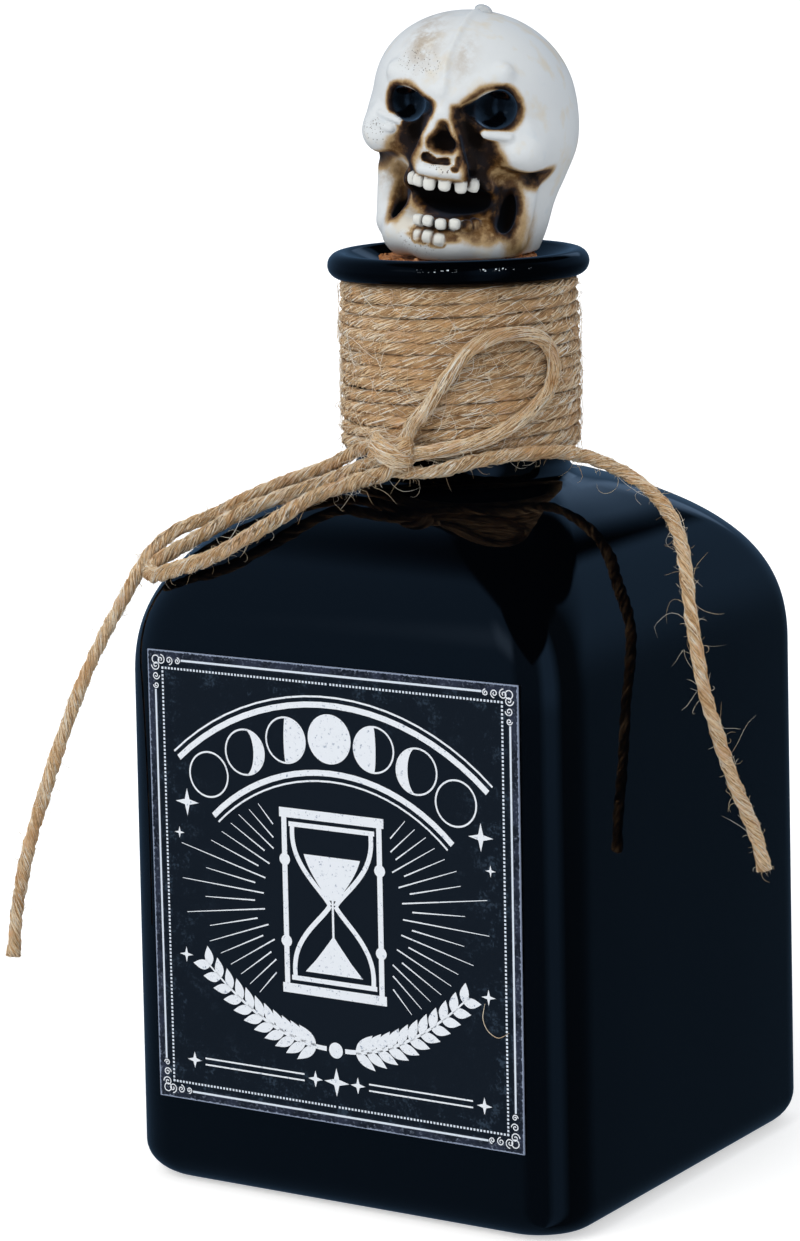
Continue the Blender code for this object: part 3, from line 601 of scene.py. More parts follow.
    def loose(self, each: float, reach: tuple[float, float], clear: Clearance,
              keep: Callable[[np.ndarray, np.ndarray], np.ndarray] | None = None,
              frayed: int = 0) -> np.ndarray:
        """Lets fibres stand off the strand.

        Args:
            each: the length of strand for each fibre.
            reach: the shortest and longest fibre.
            clear: what keeps the fibres out of the glass.
            keep: for each start and its outward direction, whether a fibre grows there.
            frayed: how many more fibres spread from the cut end.

        Returns:
            The points along each fibre.
        """
        rng = np.random.default_rng(self.seed + 100)
        count = int(self.length / each)
        spots = rng.integers(0, len(self.middle), count)
        angles = rng.uniform(0, 2 * math.pi, count)
        outward = np.cos(angles)[:, None] * self.first[spots] + np.sin(angles)[:, None] * self.second[spots]
        roots = self.middle[spots] + outward * self.diameter * 0.40
        across = outward * rng.uniform(0.05, 0.9, (count, 1))
        onward = self.along[spots] * rng.choice((-1, 1), (count, 1)) * rng.uniform(0.5, 1.4, (count, 1))
        heading = unit(across + onward)
        if keep is not None:
            kept = keep(roots, outward)
            roots, heading = roots[kept], heading[kept]
        if frayed:
            angles = rng.uniform(0, 2 * math.pi, frayed)
            spread = np.cos(angles)[:, None] * self.first[-1] + np.sin(angles)[:, None] * self.second[-1]
            far = rng.uniform(0, 0.48, (frayed, 1)) * self.diameter
            roots = np.vstack([roots, self.middle[-1] + spread * far - self.along[-1] * 0.5 * self.diameter])
            heading = np.vstack([heading, unit(self.along[-1] + spread * rng.uniform(0, 0.6, (frayed, 1)))])
        return curl(roots, heading, reach, rng, clear)


def curl(roots: np.ndarray, heading: np.ndarray, reach: tuple[float, float], rng: np.random.Generator,
         clear: Clearance) -> np.ndarray:
    """Grows curling fibres, mostly short ones.

    Args:
        roots: where each fibre starts.
        heading: the direction each starts in.
        reach: the shortest and longest fibre.
        rng: the source of the fibres' curls.
        clear: what keeps them out of the glass.

    Returns:
        The points along each fibre.
    """
    count, steps = len(roots), 11
    length = reach[0] + (reach[1] - reach[0]) * rng.random(count) ** 2.6
    bend = unit(rng.standard_normal((count, 3))) * rng.uniform(0.4, 4.6, (count, 1))
    points = np.zeros((count, steps, 3))
    points[:, 0] = roots
    direction = heading.copy()
    for step in range(1, steps):
        points[:, step] = points[:, step - 1] + direction * (length / (steps - 1))[:, None]
        wander = rng.standard_normal((count, 3)) * 0.10
        direction = unit(direction + np.cross(bend, direction) / (steps - 1) + wander)
    return clear.push(points.reshape(-1, 3)).reshape(points.shape)


def fibre_piece(name: str, lines: np.ndarray, thickness: float, finish: Finish, seed: int,
                thinnest: float = 0.35) -> bpy.types.Object:
    """Makes jute fibres on the bottle's body, three-sided, thinner at the ends, each with its own tone.

    Args:
        name: the piece's name.
        lines: the points along each fibre.
        thickness: a fibre's width, drawn at about twice the real one, as that would not show.
        finish: the finish, which reads the tone.
        seed: the seed of the tones.
        thinnest: the share of the width that is left at the ends.

    Returns:
        The fibres as one mesh.
    """
    count, steps = lines.shape[:2]
    along = unit(np.gradient(lines, axis=1))
    side = unit(np.cross(along, np.array((0.31, 0.52, 0.79))))
    other = np.cross(along, side)
    taper = np.interp(np.linspace(0, 1, steps), (0, 0.2, 0.7, 1), (thinnest, 1, 1, thinnest))
    turns = np.arange(3) * 2 * math.pi / 3
    around = (np.cos(turns)[None, None, :, None] * side[:, :, None]
              + np.sin(turns)[None, None, :, None] * other[:, :, None])
    rng = np.random.default_rng(seed)
    width = rng.uniform(0.6, 1.3, (count, 1, 1, 1)) * thickness / 2
    mesh_points = lines[:, :, None] + around * taper[None, :, None, None] * width
    index = np.arange(count * steps * 3).reshape(count, steps, 3)
    faces = [*ring_quads(index), *index[:, 0, ::-1], *index[:, -1]]
    piece = mesh_piece(name, mesh_points.reshape(-1, 3), faces, finish)
    tone = piece.data.attributes.new("tone", "FLOAT", "POINT")
    tone.data.foreach_set("value", np.repeat(rng.random(count), steps * 3).astype(np.float32))
    return settle(piece, Body.BOTTLE, Slot.TWINE, mirrored=False)


@dataclass(frozen=True)
class LabelStock(Finish):
    """Printed paper: dark ink on dull coated stock, worn to bare paper along its cut edges."""

    name: str = "printed_label_stock"
    field_colour: str = "#0e1823"
    field_speck: str = "#2c3c4c"
    border_colour: str = "#2a3144"
    border_dark: str = "#151c28"
    paper: str = "#8f9bb2"
    ink: str = "#dfe9f6"
    middle: tuple[float, float] = (0.5 * MM, 59.5 * MM)
    half: tuple[float, float] = (39.5 * MM, 42.5 * MM)
    line_inset: float = 1.45 * MM
    line_width: float = 0.38 * MM
    line_stop: float = 7.4 * MM
    dot_inset: float = 3.05 * MM
    dot_width: float = 0.40 * MM
    dot_pitch: float = 0.70 * MM
    edge_soft: float = 0.04 * MM
    speck_size: float = 0.55 * MM
    patch_size: float = 4 * MM
    speck_reach: tuple[float, float] = (16 * MM, 3 * MM)
    border_fade: float = 0.9 * MM
    wear_reach: float = 0.9 * MM
    wear_start: float = -0.22 * MM
    grain_depth: float = 0.02 * MM

    def inset(self, add: Adder) -> tuple[Socket, Socket, Socket]:
        """Measures where a point of the label lies.

        Args:
            add: adds a node to the material's tree.

        Returns:
            How far it is from the side edges, from the top and bottom edges, and from the nearest edge.
        """
        place = add("TexCoord", output="Object")
        axes = add("SeparateXYZ", (place,)).node.outputs
        insets = []
        for axis, middle, half in zip("XZ", self.middle, self.half):
            offset = add("Math", (axes[axis], middle), operation="SUBTRACT")
            away = add("Math", (offset,), operation="ABSOLUTE")
            insets.append(add("Math", (half, away), operation="SUBTRACT"))
        return *insets, add("Math", insets, operation="MINIMUM")

    def stripe(self, add: Adder, value: Socket, start: float, width: float) -> Socket:
        """Returns 1 where a value lies in a band and 0 elsewhere, with edges a little soft as ink's are."""
        soft = self.edge_soft
        rise = add("MapRange", (value, start - soft, start + soft), **SMOOTH)
        fall = add("MapRange", (value, start + width - soft, start + width + soft), **SMOOTH)
        return add("Math", (rise, fall), operation="SUBTRACT")

    def dress(self, add: Adder) -> Inputs:
        """Prints the field, the worn border, its solid line and its line of square dots."""
        place = add("TexCoord", output="Object")
        side, end, near = self.inset(add)
        far = add("Math", (side, end), operation="MAXIMUM")
        fine = add("TexNoise", blotches(place, self.speck_size, 4.0, 0.7))
        broad = add("TexNoise", blotches(place, self.patch_size, 3.0, 0.6))
        mottled = add("Math", (fine, broad), operation="MULTIPLY")
        specks = add("Math", (add("MapRange", (mottled, 0.27, 0.40), **SMOOTH),
                              add("MapRange", (near, *self.speck_reach), **SMOOTH)), operation="MULTIPLY")
        field_colour = lay_over(add, linear(self.field_colour), (specks, self.field_speck))
        border = lay_over(add, linear(self.border_dark),
                          (add("MapRange", (broad, 0.38, 0.62), **SMOOTH), self.border_colour),
                          (add("MapRange", (fine, 0.52, 0.72, 0.0, 0.5), **SMOOTH), self.paper))
        in_border = add("MapRange", (near, self.line_inset + self.border_fade, self.line_inset), **SMOOTH)
        colour = add("Mix", {0: in_border, 6: field_colour, 7: border}, data_type="RGBA", output=2)
        worn = add("Math", (fine, self.wear_reach, self.wear_start), operation="MULTIPLY_ADD")
        bare_edge = add("Math", (near, worn), operation="LESS_THAN")
        off_corner = add("Math", (far, self.line_stop), operation="GREATER_THAN")
        line = add("Math", (self.stripe(add, near, self.line_inset, self.line_width), off_corner),
                   operation="MULTIPLY")
        along = add("Math", (add("Math", (far, 1.0), operation="ADD"), self.dot_pitch), operation="DIVIDE")
        along = add("Math", (along,), operation="FRACT")
        dots = add("Math", (along, self.dot_width / self.dot_pitch), operation="LESS_THAN")
        dots = add("Math", (dots, self.stripe(add, near, self.dot_inset, self.dot_width)),
                   operation="MULTIPLY")
        ink = add("Math", (add("Math", (line, dots), operation="MAXIMUM"),
                           add("MapRange", (fine, 0.20, 0.36), **SMOOTH)), operation="MULTIPLY")
        return {"Base Color": lay_over(add, colour, (bare_edge, self.paper), (ink, self.ink)),
                "Roughness": 0.5, "Specular IOR Level": 0.35,
                "Normal": add("Bump", {"Distance": self.grain_depth, "Height": fine})}


@dataclass(frozen=True)
class PaleInk(Finish):
    """The pale ink of the label's drawing: opaque, matt and a little rubbed."""

    name: str = "pale_label_ink"
    fresh: str = "#eef3fa"
    rubbed: str = "#9aa6ba"
    rub_size: float = 0.7 * MM

    def dress(self, add: Adder) -> Inputs:
        """Rubs the ink in small patches."""
        place = add("TexCoord", output="Object")
        wear = add("TexNoise", blotches(place, self.rub_size, 4.0, 0.7))
        worn = add("MapRange", (wear, 0.42, 0.30), **SMOOTH)
        return {"Base Color": lay_over(add, linear(self.fresh), (worn, self.rubbed)), "Roughness": 0.55,
                "Specular IOR Level": 0.3}


@dataclass(frozen=True)
class CorkBark(Finish):
    """Natural cork: dry, matt orange-brown bark, with darker pores that run across its grain."""

    name: str = "natural_cork"
    pale: str = "#dfae86"
    middle: str = "#bd7a46"
    pore: str = "#5a3018"
    grain_size: float = 0.8 * MM
    pore_size: float = 1.7 * MM
    grain_depth: float = 0.5 * MM

    def dress(self, add: Adder) -> Inputs:
        """Sets grains of a few tenths of a millimetre and pores of about one."""
        place = add("TexCoord", output="Object")
        grain = add("TexNoise", blotches(place, self.grain_size, 5.0, 0.65))
        cells = add("TexVoronoi", {"Vector": place, "Scale": 1 / self.pore_size}, output="Distance")
        body = add("ValToRGB", (grain,), stops=((0.34, self.pore), (0.5, self.middle), (0.68, self.pale)))
        ragged = add("Math", (grain, -0.5, cells), operation="MULTIPLY_ADD")
        pores = add("MapRange", (ragged, 0.05, -0.08), **SMOOTH)
        return {"Base Color": lay_over(add, body, (pores, self.pore)), "Roughness": 0.9,
                "Specular IOR Level": 0.2,
                "Normal": add("Bump", {"Distance": self.grain_depth, "Height": grain})}


@dataclass(frozen=True)
class PaintedSkull(Finish):
    """Moulded resin painted ivory: satin bone, airbrushed brown round each hollow and gloss within."""

    name: str = "moulded_painted_skull"
    bone: str = "#e8ecee"
    bone_shade: str = "#dfe6eb"
    bone_warm: str = "#e7e2d6"
    mist_pale: str = "#c4a577"
    mist: str = "#6e4b24"
    mist_dark: str = "#2a190d"
    socket: str = "#07090e"
    hollow: str = "#120b07"
    tooth: str = "#eeeee8"
    stain: str = "#a88d66"
    speck: str = "#4a3826"
    speck_pitch: float = 0.40 * MM
    cloud_size: float = 6 * MM
    patch_size: float = 2.2 * MM
    grain_size: float = 0.9 * MM
    grain_depth: float = 0.05 * MM

    def dress(self, add: Adder) -> Inputs:
        """Paints by the amounts that the skull's points carry: mist, hollow, socket, tooth and so on."""
        place = add("TexCoord", output="Object")

        hollow, socket, tooth, misted, stained, specked = (
            add("Attribute", output="Fac", attribute_name=name)
            for name in ("hollow", "socket", "tooth", "mist", "stain", "specks"))
        broad = add("TexNoise", blotches(place, self.cloud_size, 3.0, 0.55))
        patchy = add("TexNoise", blotches(place, self.patch_size, 4.0, 0.65))
        fine = add("TexNoise", blotches(place, self.grain_size, 4.0, 0.65))
        bone = add("ValToRGB", (broad,), stops=((0.30, self.bone_warm), (0.45, self.bone), (0.62, self.bone),
                                                (0.75, self.bone_shade)))
        uneven = add("Math", (fine, 0.6, 0.10), operation="MULTIPLY_ADD")
        uneven = add("Math", (patchy, 1.2, uneven), operation="MULTIPLY_ADD")
        mist = add("Math", (misted, uneven), operation="MULTIPLY")
        smear = add("Math", (stained, add("MapRange", (patchy, 0.30, 0.66, 0.0, 0.7), **SMOOTH)),
                    operation="MULTIPLY")
        dots = add("TexVoronoi", {"Vector": place, "Scale": 1 / self.speck_pitch}).node.outputs
        ragged = add("Math", (fine, 0.5, dots["Distance"]), operation="MULTIPLY_ADD")
        pits = add("MapRange", (ragged, 0.60, 0.46, 0.0, 0.85), **SMOOTH)
        for window in ((add("SeparateXYZ", (dots["Color"],), output="X"), 0.50, 0.55),
                       (add("Math", (specked, patchy), operation="MULTIPLY"), 0.12, 0.36)):
            pits = add("Math", (pits, add("MapRange", window, **SMOOTH)), operation="MULTIPLY")
        colour = lay_over(add, bone,
                          (add("MapRange", (mist, 0.05, 0.42), **SMOOTH), self.mist_pale),
                          (add("MapRange", (mist, 0.34, 0.72), **SMOOTH), self.mist),
                          (add("MapRange", (mist, 0.66, 0.98), **SMOOTH), self.mist_dark),
                          (smear, self.stain), (pits, self.speck), (hollow, self.hollow),
                          (socket, self.socket), (tooth, self.tooth))
        rough = add("Math", (hollow, 0.30, 0.42), operation="MULTIPLY_ADD")
        shine = add("Math", (hollow, -0.42, 0.5), operation="MULTIPLY_ADD")
        return {"Base Color": colour, "IOR": 1.5,
                "Roughness": add("Math", (socket, -0.40, rough), operation="MULTIPLY_ADD"),
                "Specular IOR Level": add("Math", (socket, 0.14, shine), operation="MULTIPLY_ADD"),
                "Normal": add("Bump", {"Distance": self.grain_depth, "Height": fine})}


@dataclass(frozen=True)
class ClearGlue(Finish):
    """A dab of hot-melt glue: clear, a little milky, with a wet-looking skin."""

    name: str = "clear_glue_dab"
    milky: str = "#e2eaf0"
    clear: str = "#ffffff"
    cloud_size: float = 1.2 * MM
    cloud_depth: float = 0.1 * MM

    def dress(self, add: Adder) -> Inputs:
        """Lets light through a faintly cloudy body."""
        place = add("TexCoord", output="Object")
        cloud = add("TexNoise", blotches(place, self.cloud_size, 2.0, 0.55))
        return {"Base Color": add("ValToRGB", (cloud,), stops=((0.3, self.milky), (0.7, self.clear))),
                "Transmission Weight": 0.45, "Roughness": 0.12, "IOR": 1.48,
                "Normal": add("Bump", {"Distance": self.cloud_depth, "Height": cloud})}


@dataclass
class PhotoCamera:
    """The camera that the photograph was taken from, fitted to the label's corners, the body and the lip."""

    location: Point = (0.412941, -0.675809, 0.248309)
    turn_degrees: Point = (79.5656, 1.2469, 32.0847)
    focal_pixels: float = 4274.609
    sensor: float = 36.0

    def build(self) -> bpy.types.Object:
        """Places the camera and makes it the scene's own."""
        bpy.ops.object.camera_add(location=self.location,
                                  rotation=[math.radians(angle) for angle in self.turn_degrees])
        camera = bpy.context.object
        camera.name = "photo_camera"
        camera.data.sensor_width = self.sensor
        camera.data.lens = self.focal_pixels * self.sensor / max(IMAGE_SIZE)
        bpy.context.scene.camera = camera
        LOG.info("camera: %.1f mm lens at %s", camera.data.lens, self.location)
        return camera


@dataclass(frozen=True)
class WhiteSweep(Finish):
    """Matt white paper, lifted towards pure white for the camera alone."""

    name: str = "white_sweep"
    pale: str = "#f2f2f2"
    white: str = "#f4f4f4"
    cloud_size: float = 0.4
    lift: float = 0.52

    def dress(self, add: Adder) -> Inputs:
        """Tints the paper in faint clouds."""
        place = add("TexCoord", output="Object")
        cloud = add("TexNoise", blotches(place, self.cloud_size, 1.0, 0.55))
        seen = add("LightPath", output="Is Camera Ray")
        return {"Base Color": add("ValToRGB", (cloud,), stops=((0.4, self.pale), (0.6, self.white))),
                "Roughness": 1.0, "Specular IOR Level": 0.0, "Emission Color": linear("#ffffff"),
                "Emission Strength": add("Math", (seen, self.lift), operation="MULTIPLY")}


@dataclass(frozen=True)
class Glow:
    """A pale patch of the mirrored room: its middle and half width in degrees, and its heights."""

    middle: float
    wide: float
    low: float
    high: float
    soft: float
    colour: str
    share: float = 1.0


@dataclass
class Studio:
    """A white sweep under soft light, with dim blue surroundings that only mirrors show."""

    floor_size: float = 12.0
    fill_colour: str = "#f4f7fb"
    fill_strength: float = 0.68
    key_colour: str = "#fffcf6"
    key_strength: float = 1.1
    key_softness: float = math.radians(38)
    key_turn: Point = (48.0, 0.0, -10.0)
    room: tuple[tuple[float, str], ...] = ((-180, "#516e8e"), (-104, "#516e8e"), (-90, "#394e65"),
                                           (-54, "#394e65"), (-40, "#7098c4"), (-26, "#7098c4"),
                                           (-10, "#26343f"), (25, "#26343f"), (48, "#374c62"),
                                           (105, "#41586f"), (150, "#516e8e"))
    risen_height: tuple[float, float] = (-0.1, 0.25)
    risen_side: tuple[float, float] = (20, 60)
    risen_colour: str = "#506e8e"
    fallen_height: tuple[float, float] = (0.1, -0.3)
    fallen_colour: str = "#222f3c"
    glows: tuple[Glow, ...] = (Glow(-110, 12, 0.40, 0.62, 0.1, "#a8c8ee", 0.75),
                               Glow(99, 8, 0.30, 0.49, 0.04, "#9cc0ea"))
    black_ceiling: tuple[float, float] = (0.79, 0.87)
    black_cones: tuple[tuple[float, float], ...] = ((-61, 0.43), (84, 0.47))
    cone_spread: float = 140.0
    cone_soft: float = 5.0

    def build(self) -> None:
        """Builds the floor, the lamp and the world, and keeps the colours as written."""
        bpy.context.scene.view_settings.view_transform = "Standard"
        bpy.context.scene.view_settings.look = "None"
        self.lay_floor()
        self.hang_lamp()
        self.fill_world()
        LOG.info("studio: floor, lamp and world")

    def lay_floor(self) -> None:
        """Lays a white floor, which mirrors don't show, as the photographed glass mirrors no white floor."""
        bpy.ops.mesh.primitive_plane_add(size=self.floor_size, location=(0, 0, -0.0002))
        floor = bpy.context.object
        floor.name = "studio_floor"
        floor.visible_glossy = False
        floor.data.materials.append(WhiteSweep().material())

    def hang_lamp(self) -> None:
        """Hangs one broad soft light at the upper left in front, far enough off to light the sweep evenly."""
        bpy.ops.object.light_add(type="SUN", location=(-1, -1, 2),
                                 rotation=[math.radians(angle) for angle in self.key_turn])
        lamp = bpy.context.object
        lamp.name = "key_light"
        lamp.data.energy = self.key_strength
        lamp.data.angle = self.key_softness
        lamp.data.color = linear(self.key_colour)[:3]
        lamp.visible_glossy = False

    def fill_world(self) -> None:
        """Gives the camera white, and mirror images the dim blue room of the photographed glass."""
        world = bpy.data.worlds.new("studio_world")
        bpy.context.scene.world = world
        world.use_nodes = True
        tree = world.node_tree
        add = partial(add_node, tree)
        rays = add("LightPath").node.outputs
        fill = add("Background", (linear(self.fill_colour), self.fill_strength))
        white = add("Background", (linear("#ffffff"), 1.0))
        mirror = add("Background", (self.mirrored_room(add), 1.0))
        straight = add("Math", (rays["Is Camera Ray"], rays["Is Transmission Ray"]), operation="MAXIMUM")
        shown = add("MixShader", (rays["Is Glossy Ray"], fill, mirror))
        set_inputs(tree, tree.nodes["World Output"], {"Surface": add("MixShader", (straight, shown, white))})

    def mirrored_room(self, add: Adder) -> Socket:
        """Paints the room by azimuth in degrees and by height.

        Args:
            add: adds a node to the world's tree.

        Returns:
            The colour that a mirror sees in each direction.
        """
        axes = add("SeparateXYZ", (add("TexCoord", output="Generated"),)).node.outputs
        height = axes["Z"]
        azimuth = add("Math", (axes["Y"], axes["X"]), operation="ARCTAN2")
        azimuth = add("Math", (azimuth,), operation="DEGREES")
        share = add("Math", (azimuth, 1 / 360, 0.5), operation="MULTIPLY_ADD")
        room = add("ValToRGB", (share,),
                   stops=tuple(((angle + 180) / 360, colour) for angle, colour in self.room))

        def away(middle: float) -> Socket:
            return add("Math", (add("Math", (azimuth, middle), operation="SUBTRACT"),), operation="ABSOLUTE")

        def both(first: tuple, second: tuple) -> Socket:
            return add("Math", (add("MapRange", first, **SMOOTH), add("MapRange", second, **SMOOTH)),
                       operation="MULTIPLY")

        risen = both((height, *self.risen_height), (azimuth, *self.risen_side))
        fallen = add("MapRange", (height, *self.fallen_height, 0.0, 0.5), **SMOOTH)
        room = lay_over(add, room, (risen, self.risen_colour), (fallen, self.fallen_colour))
        for glow in self.glows:
            band = both((height, glow.low - glow.soft, glow.low + glow.soft),
                        (height, glow.high + glow.soft, glow.high - glow.soft))
            patch = add("MapRange", (away(glow.middle), glow.wide * 1.6, glow.wide * 0.6, 0.0, glow.share),
                        **SMOOTH)
            room = lay_over(add, room, (add("Math", (patch, band), operation="MULTIPLY"), glow.colour))
        black = add("MapRange", (height, *self.black_ceiling), **SMOOTH)
        for middle, low in self.black_cones:
            reach = add("Math", (height, self.cone_spread, -self.cone_spread * low), operation="MULTIPLY_ADD")
            inward = add("Math", (reach, away(middle)), operation="SUBTRACT")
            cone = add("MapRange", (inward, -self.cone_soft, self.cone_soft), **SMOOTH)
            black = add("Math", (black, cone), operation="MAXIMUM")
        return lay_over(add, room, (black, "#000000"))


@dataclass(frozen=True)
class FreeRun:
    """One run of the bow: its route, and the points in millimetres that carry its ends into the knot."""

    node: str
    route: tuple[Point, ...]
    seed: int
    head: tuple[Point, ...] = ()
    tail: tuple[Point, ...] = ()
    cut: bool = False
    diameter: float = 2.3 * MM
    lay: float = 10.5 * MM
    relief: float = 0.6


@dataclass
class TwineWork:
    """The jute: the winding round the neck, and a bow with two loops, two tails and a knot."""

    knot_place: Point = (0.0010, -0.0262, 0.1380)
    neck_radius: float = 19.7 * MM
    winding_pitch: float = 2.25 * MM
    winding_diameter: float = 2.40 * MM
    wisp_count: int = 900
    winding_levels: tuple[float, float] = (0.13700, 0.16625)
    left_tail: tuple[Point, ...] = (
        (-0.0023, -0.0246, 0.1385), (-0.0046, -0.0244, 0.1385), (-0.0086, -0.0230, 0.1371),
        (-0.0126, -0.0217, 0.1351), (-0.0169, -0.0216, 0.1332), (-0.0217, -0.0231, 0.1314),
        (-0.0268, -0.0260, 0.1292), (-0.0310, -0.0284, 0.1271), (-0.0360, -0.0310, 0.1243),
        (-0.0415, -0.0335, 0.1219), (-0.0450, -0.0352, 0.1191), (-0.0474, -0.0368, 0.1159),
        (-0.0492, -0.0390, 0.1113), (-0.0508, -0.0412, 0.1069), (-0.0523, -0.0432, 0.1029),
        (-0.0548, -0.0463, 0.0954), (-0.0580, -0.0491, 0.0851), (-0.0612, -0.0516, 0.0738),
        (-0.0642, -0.0536, 0.0624), (-0.0664, -0.0546, 0.0517), (-0.0677, -0.0549, 0.0419),
    )
    left_loop: tuple[Point, ...] = (
        (0.0000, -0.0270, 0.1340), (-0.0016, -0.0275, 0.1334), (-0.0054, -0.0274, 0.1323),
        (-0.0099, -0.0273, 0.1307), (-0.0130, -0.0290, 0.1296), (-0.0156, -0.0319, 0.1279),
        (-0.0187, -0.0358, 0.1252), (-0.0225, -0.0391, 0.1225), (-0.0259, -0.0416, 0.1201),
        (-0.0305, -0.0432, 0.1179), (-0.0356, -0.0433, 0.1163), (-0.0393, -0.0427, 0.1150),
        (-0.0427, -0.0411, 0.1143), (-0.0444, -0.0391, 0.1149), (-0.0435, -0.0376, 0.1164),
        (-0.0409, -0.0366, 0.1181), (-0.0360, -0.0353, 0.1210), (-0.0337, -0.0344, 0.1224),
        (-0.0288, -0.0317, 0.1255), (-0.0238, -0.0294, 0.1277), (-0.0191, -0.0271, 0.1295),
        (-0.0140, -0.0249, 0.1314), (-0.0099, -0.0236, 0.1331), (-0.0062, -0.0233, 0.1346),
        (-0.0022, -0.0240, 0.1358),
    )
    upper_loop: tuple[Point, ...] = (
        (0.0034, -0.0247, 0.1406), (0.0045, -0.0243, 0.1430), (0.0066, -0.0228, 0.1456),
        (0.0090, -0.0218, 0.1495), (0.0114, -0.0206, 0.1530), (0.0133, -0.0194, 0.1558),
        (0.0159, -0.0173, 0.1578), (0.0185, -0.0146, 0.1588), (0.0211, -0.0107, 0.1586),
        (0.0226, -0.0070, 0.1567), (0.0231, -0.0050, 0.1533), (0.0230, -0.0056, 0.1497),
        (0.0225, -0.0073, 0.1470), (0.0211, -0.0105, 0.1443), (0.0195, -0.0132, 0.1424),
        (0.0171, -0.0163, 0.1406), (0.0136, -0.0193, 0.1391), (0.0098, -0.0219, 0.1382),
        (0.0068, -0.0242, 0.1377),
    )
    right_tail: tuple[Point, ...] = (
        (0.0060, -0.0246, 0.1341), (0.0079, -0.0237, 0.1342), (0.0112, -0.0213, 0.1350),
        (0.0150, -0.0182, 0.1361), (0.0184, -0.0147, 0.1366), (0.0208, -0.0109, 0.1367),
        (0.0226, -0.0068, 0.1365), (0.0248, -0.0026, 0.1359), (0.0289, 0.0010, 0.1342),
        (0.0346, 0.0020, 0.1317), (0.0386, 0.0016, 0.1296), (0.0429, 0.0002, 0.1266),
        (0.0464, -0.0019, 0.1233), (0.0489, -0.0041, 0.1194), (0.0509, -0.0063, 0.1144),
        (0.0526, -0.0081, 0.1088), (0.0543, -0.0093, 0.1031), (0.0556, -0.0096, 0.0972),
        (0.0566, -0.0089, 0.0922), (0.0578, -0.0077, 0.0867), (0.0593, -0.0061, 0.0799),
        (0.0611, -0.0043, 0.0736), (0.0627, -0.0028, 0.0679), (0.0638, -0.0016, 0.0615),
    )

    def build(self, clear: Clearance) -> None:
        """Spins every run of twine and lets its fibres loose.

        Args:
            clear: what keeps loose fibres out of the glass.
        """
        self.build_winding(clear)
        self.build_knot(clear)
        runs = (FreeRun("left_tail", self.left_tail, 11, head=((4.2, -24.6, 138.9), (1.2, -25.0, 138.9)),
                        cut=True),
                FreeRun("left_loop", self.left_loop, 12, head=((3.6, -25.6, 136.2),),
                        tail=((1.6, -24.4, 137.0), (4.2, -24.4, 138.2)), diameter=2.6 * MM),
                FreeRun("upper_loop", self.upper_loop, 13, head=((-0.6, -25.4, 136.4), (1.6, -25.2, 138.4)),
                        tail=((4.4, -24.9, 137.5), (1.2, -25.2, 137.6)), diameter=2.25 * MM, lay=46 * MM,
                        relief=0.35),
                FreeRun("right_tail", self.right_tail, 14,
                        head=((-1.6, -25.4, 136.2), (0.6, -26.2, 134.6), (3.2, -25.6, 134.1)), cut=True))
        for run in runs:
            self.build_run(run, clear)

    def build_run(self, run: FreeRun, clear: Clearance) -> None:
        """Args:
            run: the run.
            clear: what keeps its fibres out of the glass.
        """
        route = [*(np.array(run.head).reshape(-1, 3) * MM).tolist(), *run.route,
                 *(np.array(run.tail).reshape(-1, 3) * MM).tolist()]
        strand = Strand(f"{run.node}_strand", smooth_route(route, 0.28 * MM), run.diameter, run.lay,
                        seed=run.seed, relief=run.relief, end_swell=0.2 if run.cut else 0.0)
        piece = settle(strand.build(JuteFibre()), Body.BOTTLE, Slot.TWINE, run.node)
        laid = strand.laid(each=0.075 * MM, long=7 * MM, lift=0.28 * MM, clear=clear)
        laid = fibre_piece(f"{run.node}_laid_fibres", laid, 0.17 * MM, LaidFibre(), run.seed + 300)
        fuzz = strand.loose(0.14 * MM, (0.6 * MM, 3.2 * MM), clear, frayed=70 if run.cut else 0)
        stray = strand.loose(1.6 * MM, (3 * MM, 13 * MM), clear)
        loose = fibre_piece(f"{run.node}_loose_fibres", np.vstack([fuzz, stray]), 0.07 * MM, LooseFibre(),
                            run.seed + 400)
        smooth_route(route, 1.5 * MM).tolist()

    def winding_route(self) -> np.ndarray:
        """Returns the helix round the neck, uneven as hand-wound twine is."""
        low, high = self.winding_levels
        turns = round((high - low) / self.winding_pitch) + 2
        share = np.linspace(0, 1, int(turns * 150))
        angle = 2 * math.pi * turns * share + math.pi * 0.55
        rng = np.random.default_rng(5)
        knots = np.arange(0, turns + 1, 0.23)
        lift = np.interp(turns * share, knots, rng.uniform(-1, 1, len(knots))) * 0.30 * MM
        proud = np.interp(turns * share, knots, rng.uniform(0, 1, len(knots))) * 0.30 * MM
        belly = 0.35 * MM * np.sin(math.pi * np.clip(share * 1.15, 0, 1))
        radius = self.neck_radius + self.winding_diameter * 0.40 + proud + belly
        climb = np.clip((turns * share - 1) / (turns - 2), 0, 1)
        level = low + (high - low) * climb + lift * np.clip((1 - climb) * 9, 0, 1)
        return np.stack([radius * np.cos(angle), radius * np.sin(angle), level], axis=1)

    def build_winding(self, clear: Clearance) -> None:
        """Winds the neck, with fibres laid over its outward side and wisps across its turns."""
        strand = Strand("neck_winding_strand", self.winding_route(), self.winding_diameter, 17 * MM, plies=3,
                        sides=16, seed=21, relief=0.22)
        settle(strand.build(JuteFibre()), Body.BOTTLE, Slot.TWINE, "neck_winding")

        def outward(places: np.ndarray) -> np.ndarray:
            return unit(places * (1.0, 1.0, 0.0))

        def outside(roots: np.ndarray, heading: np.ndarray) -> np.ndarray:
            return (outward(roots) * heading).sum(axis=1) > 0.2

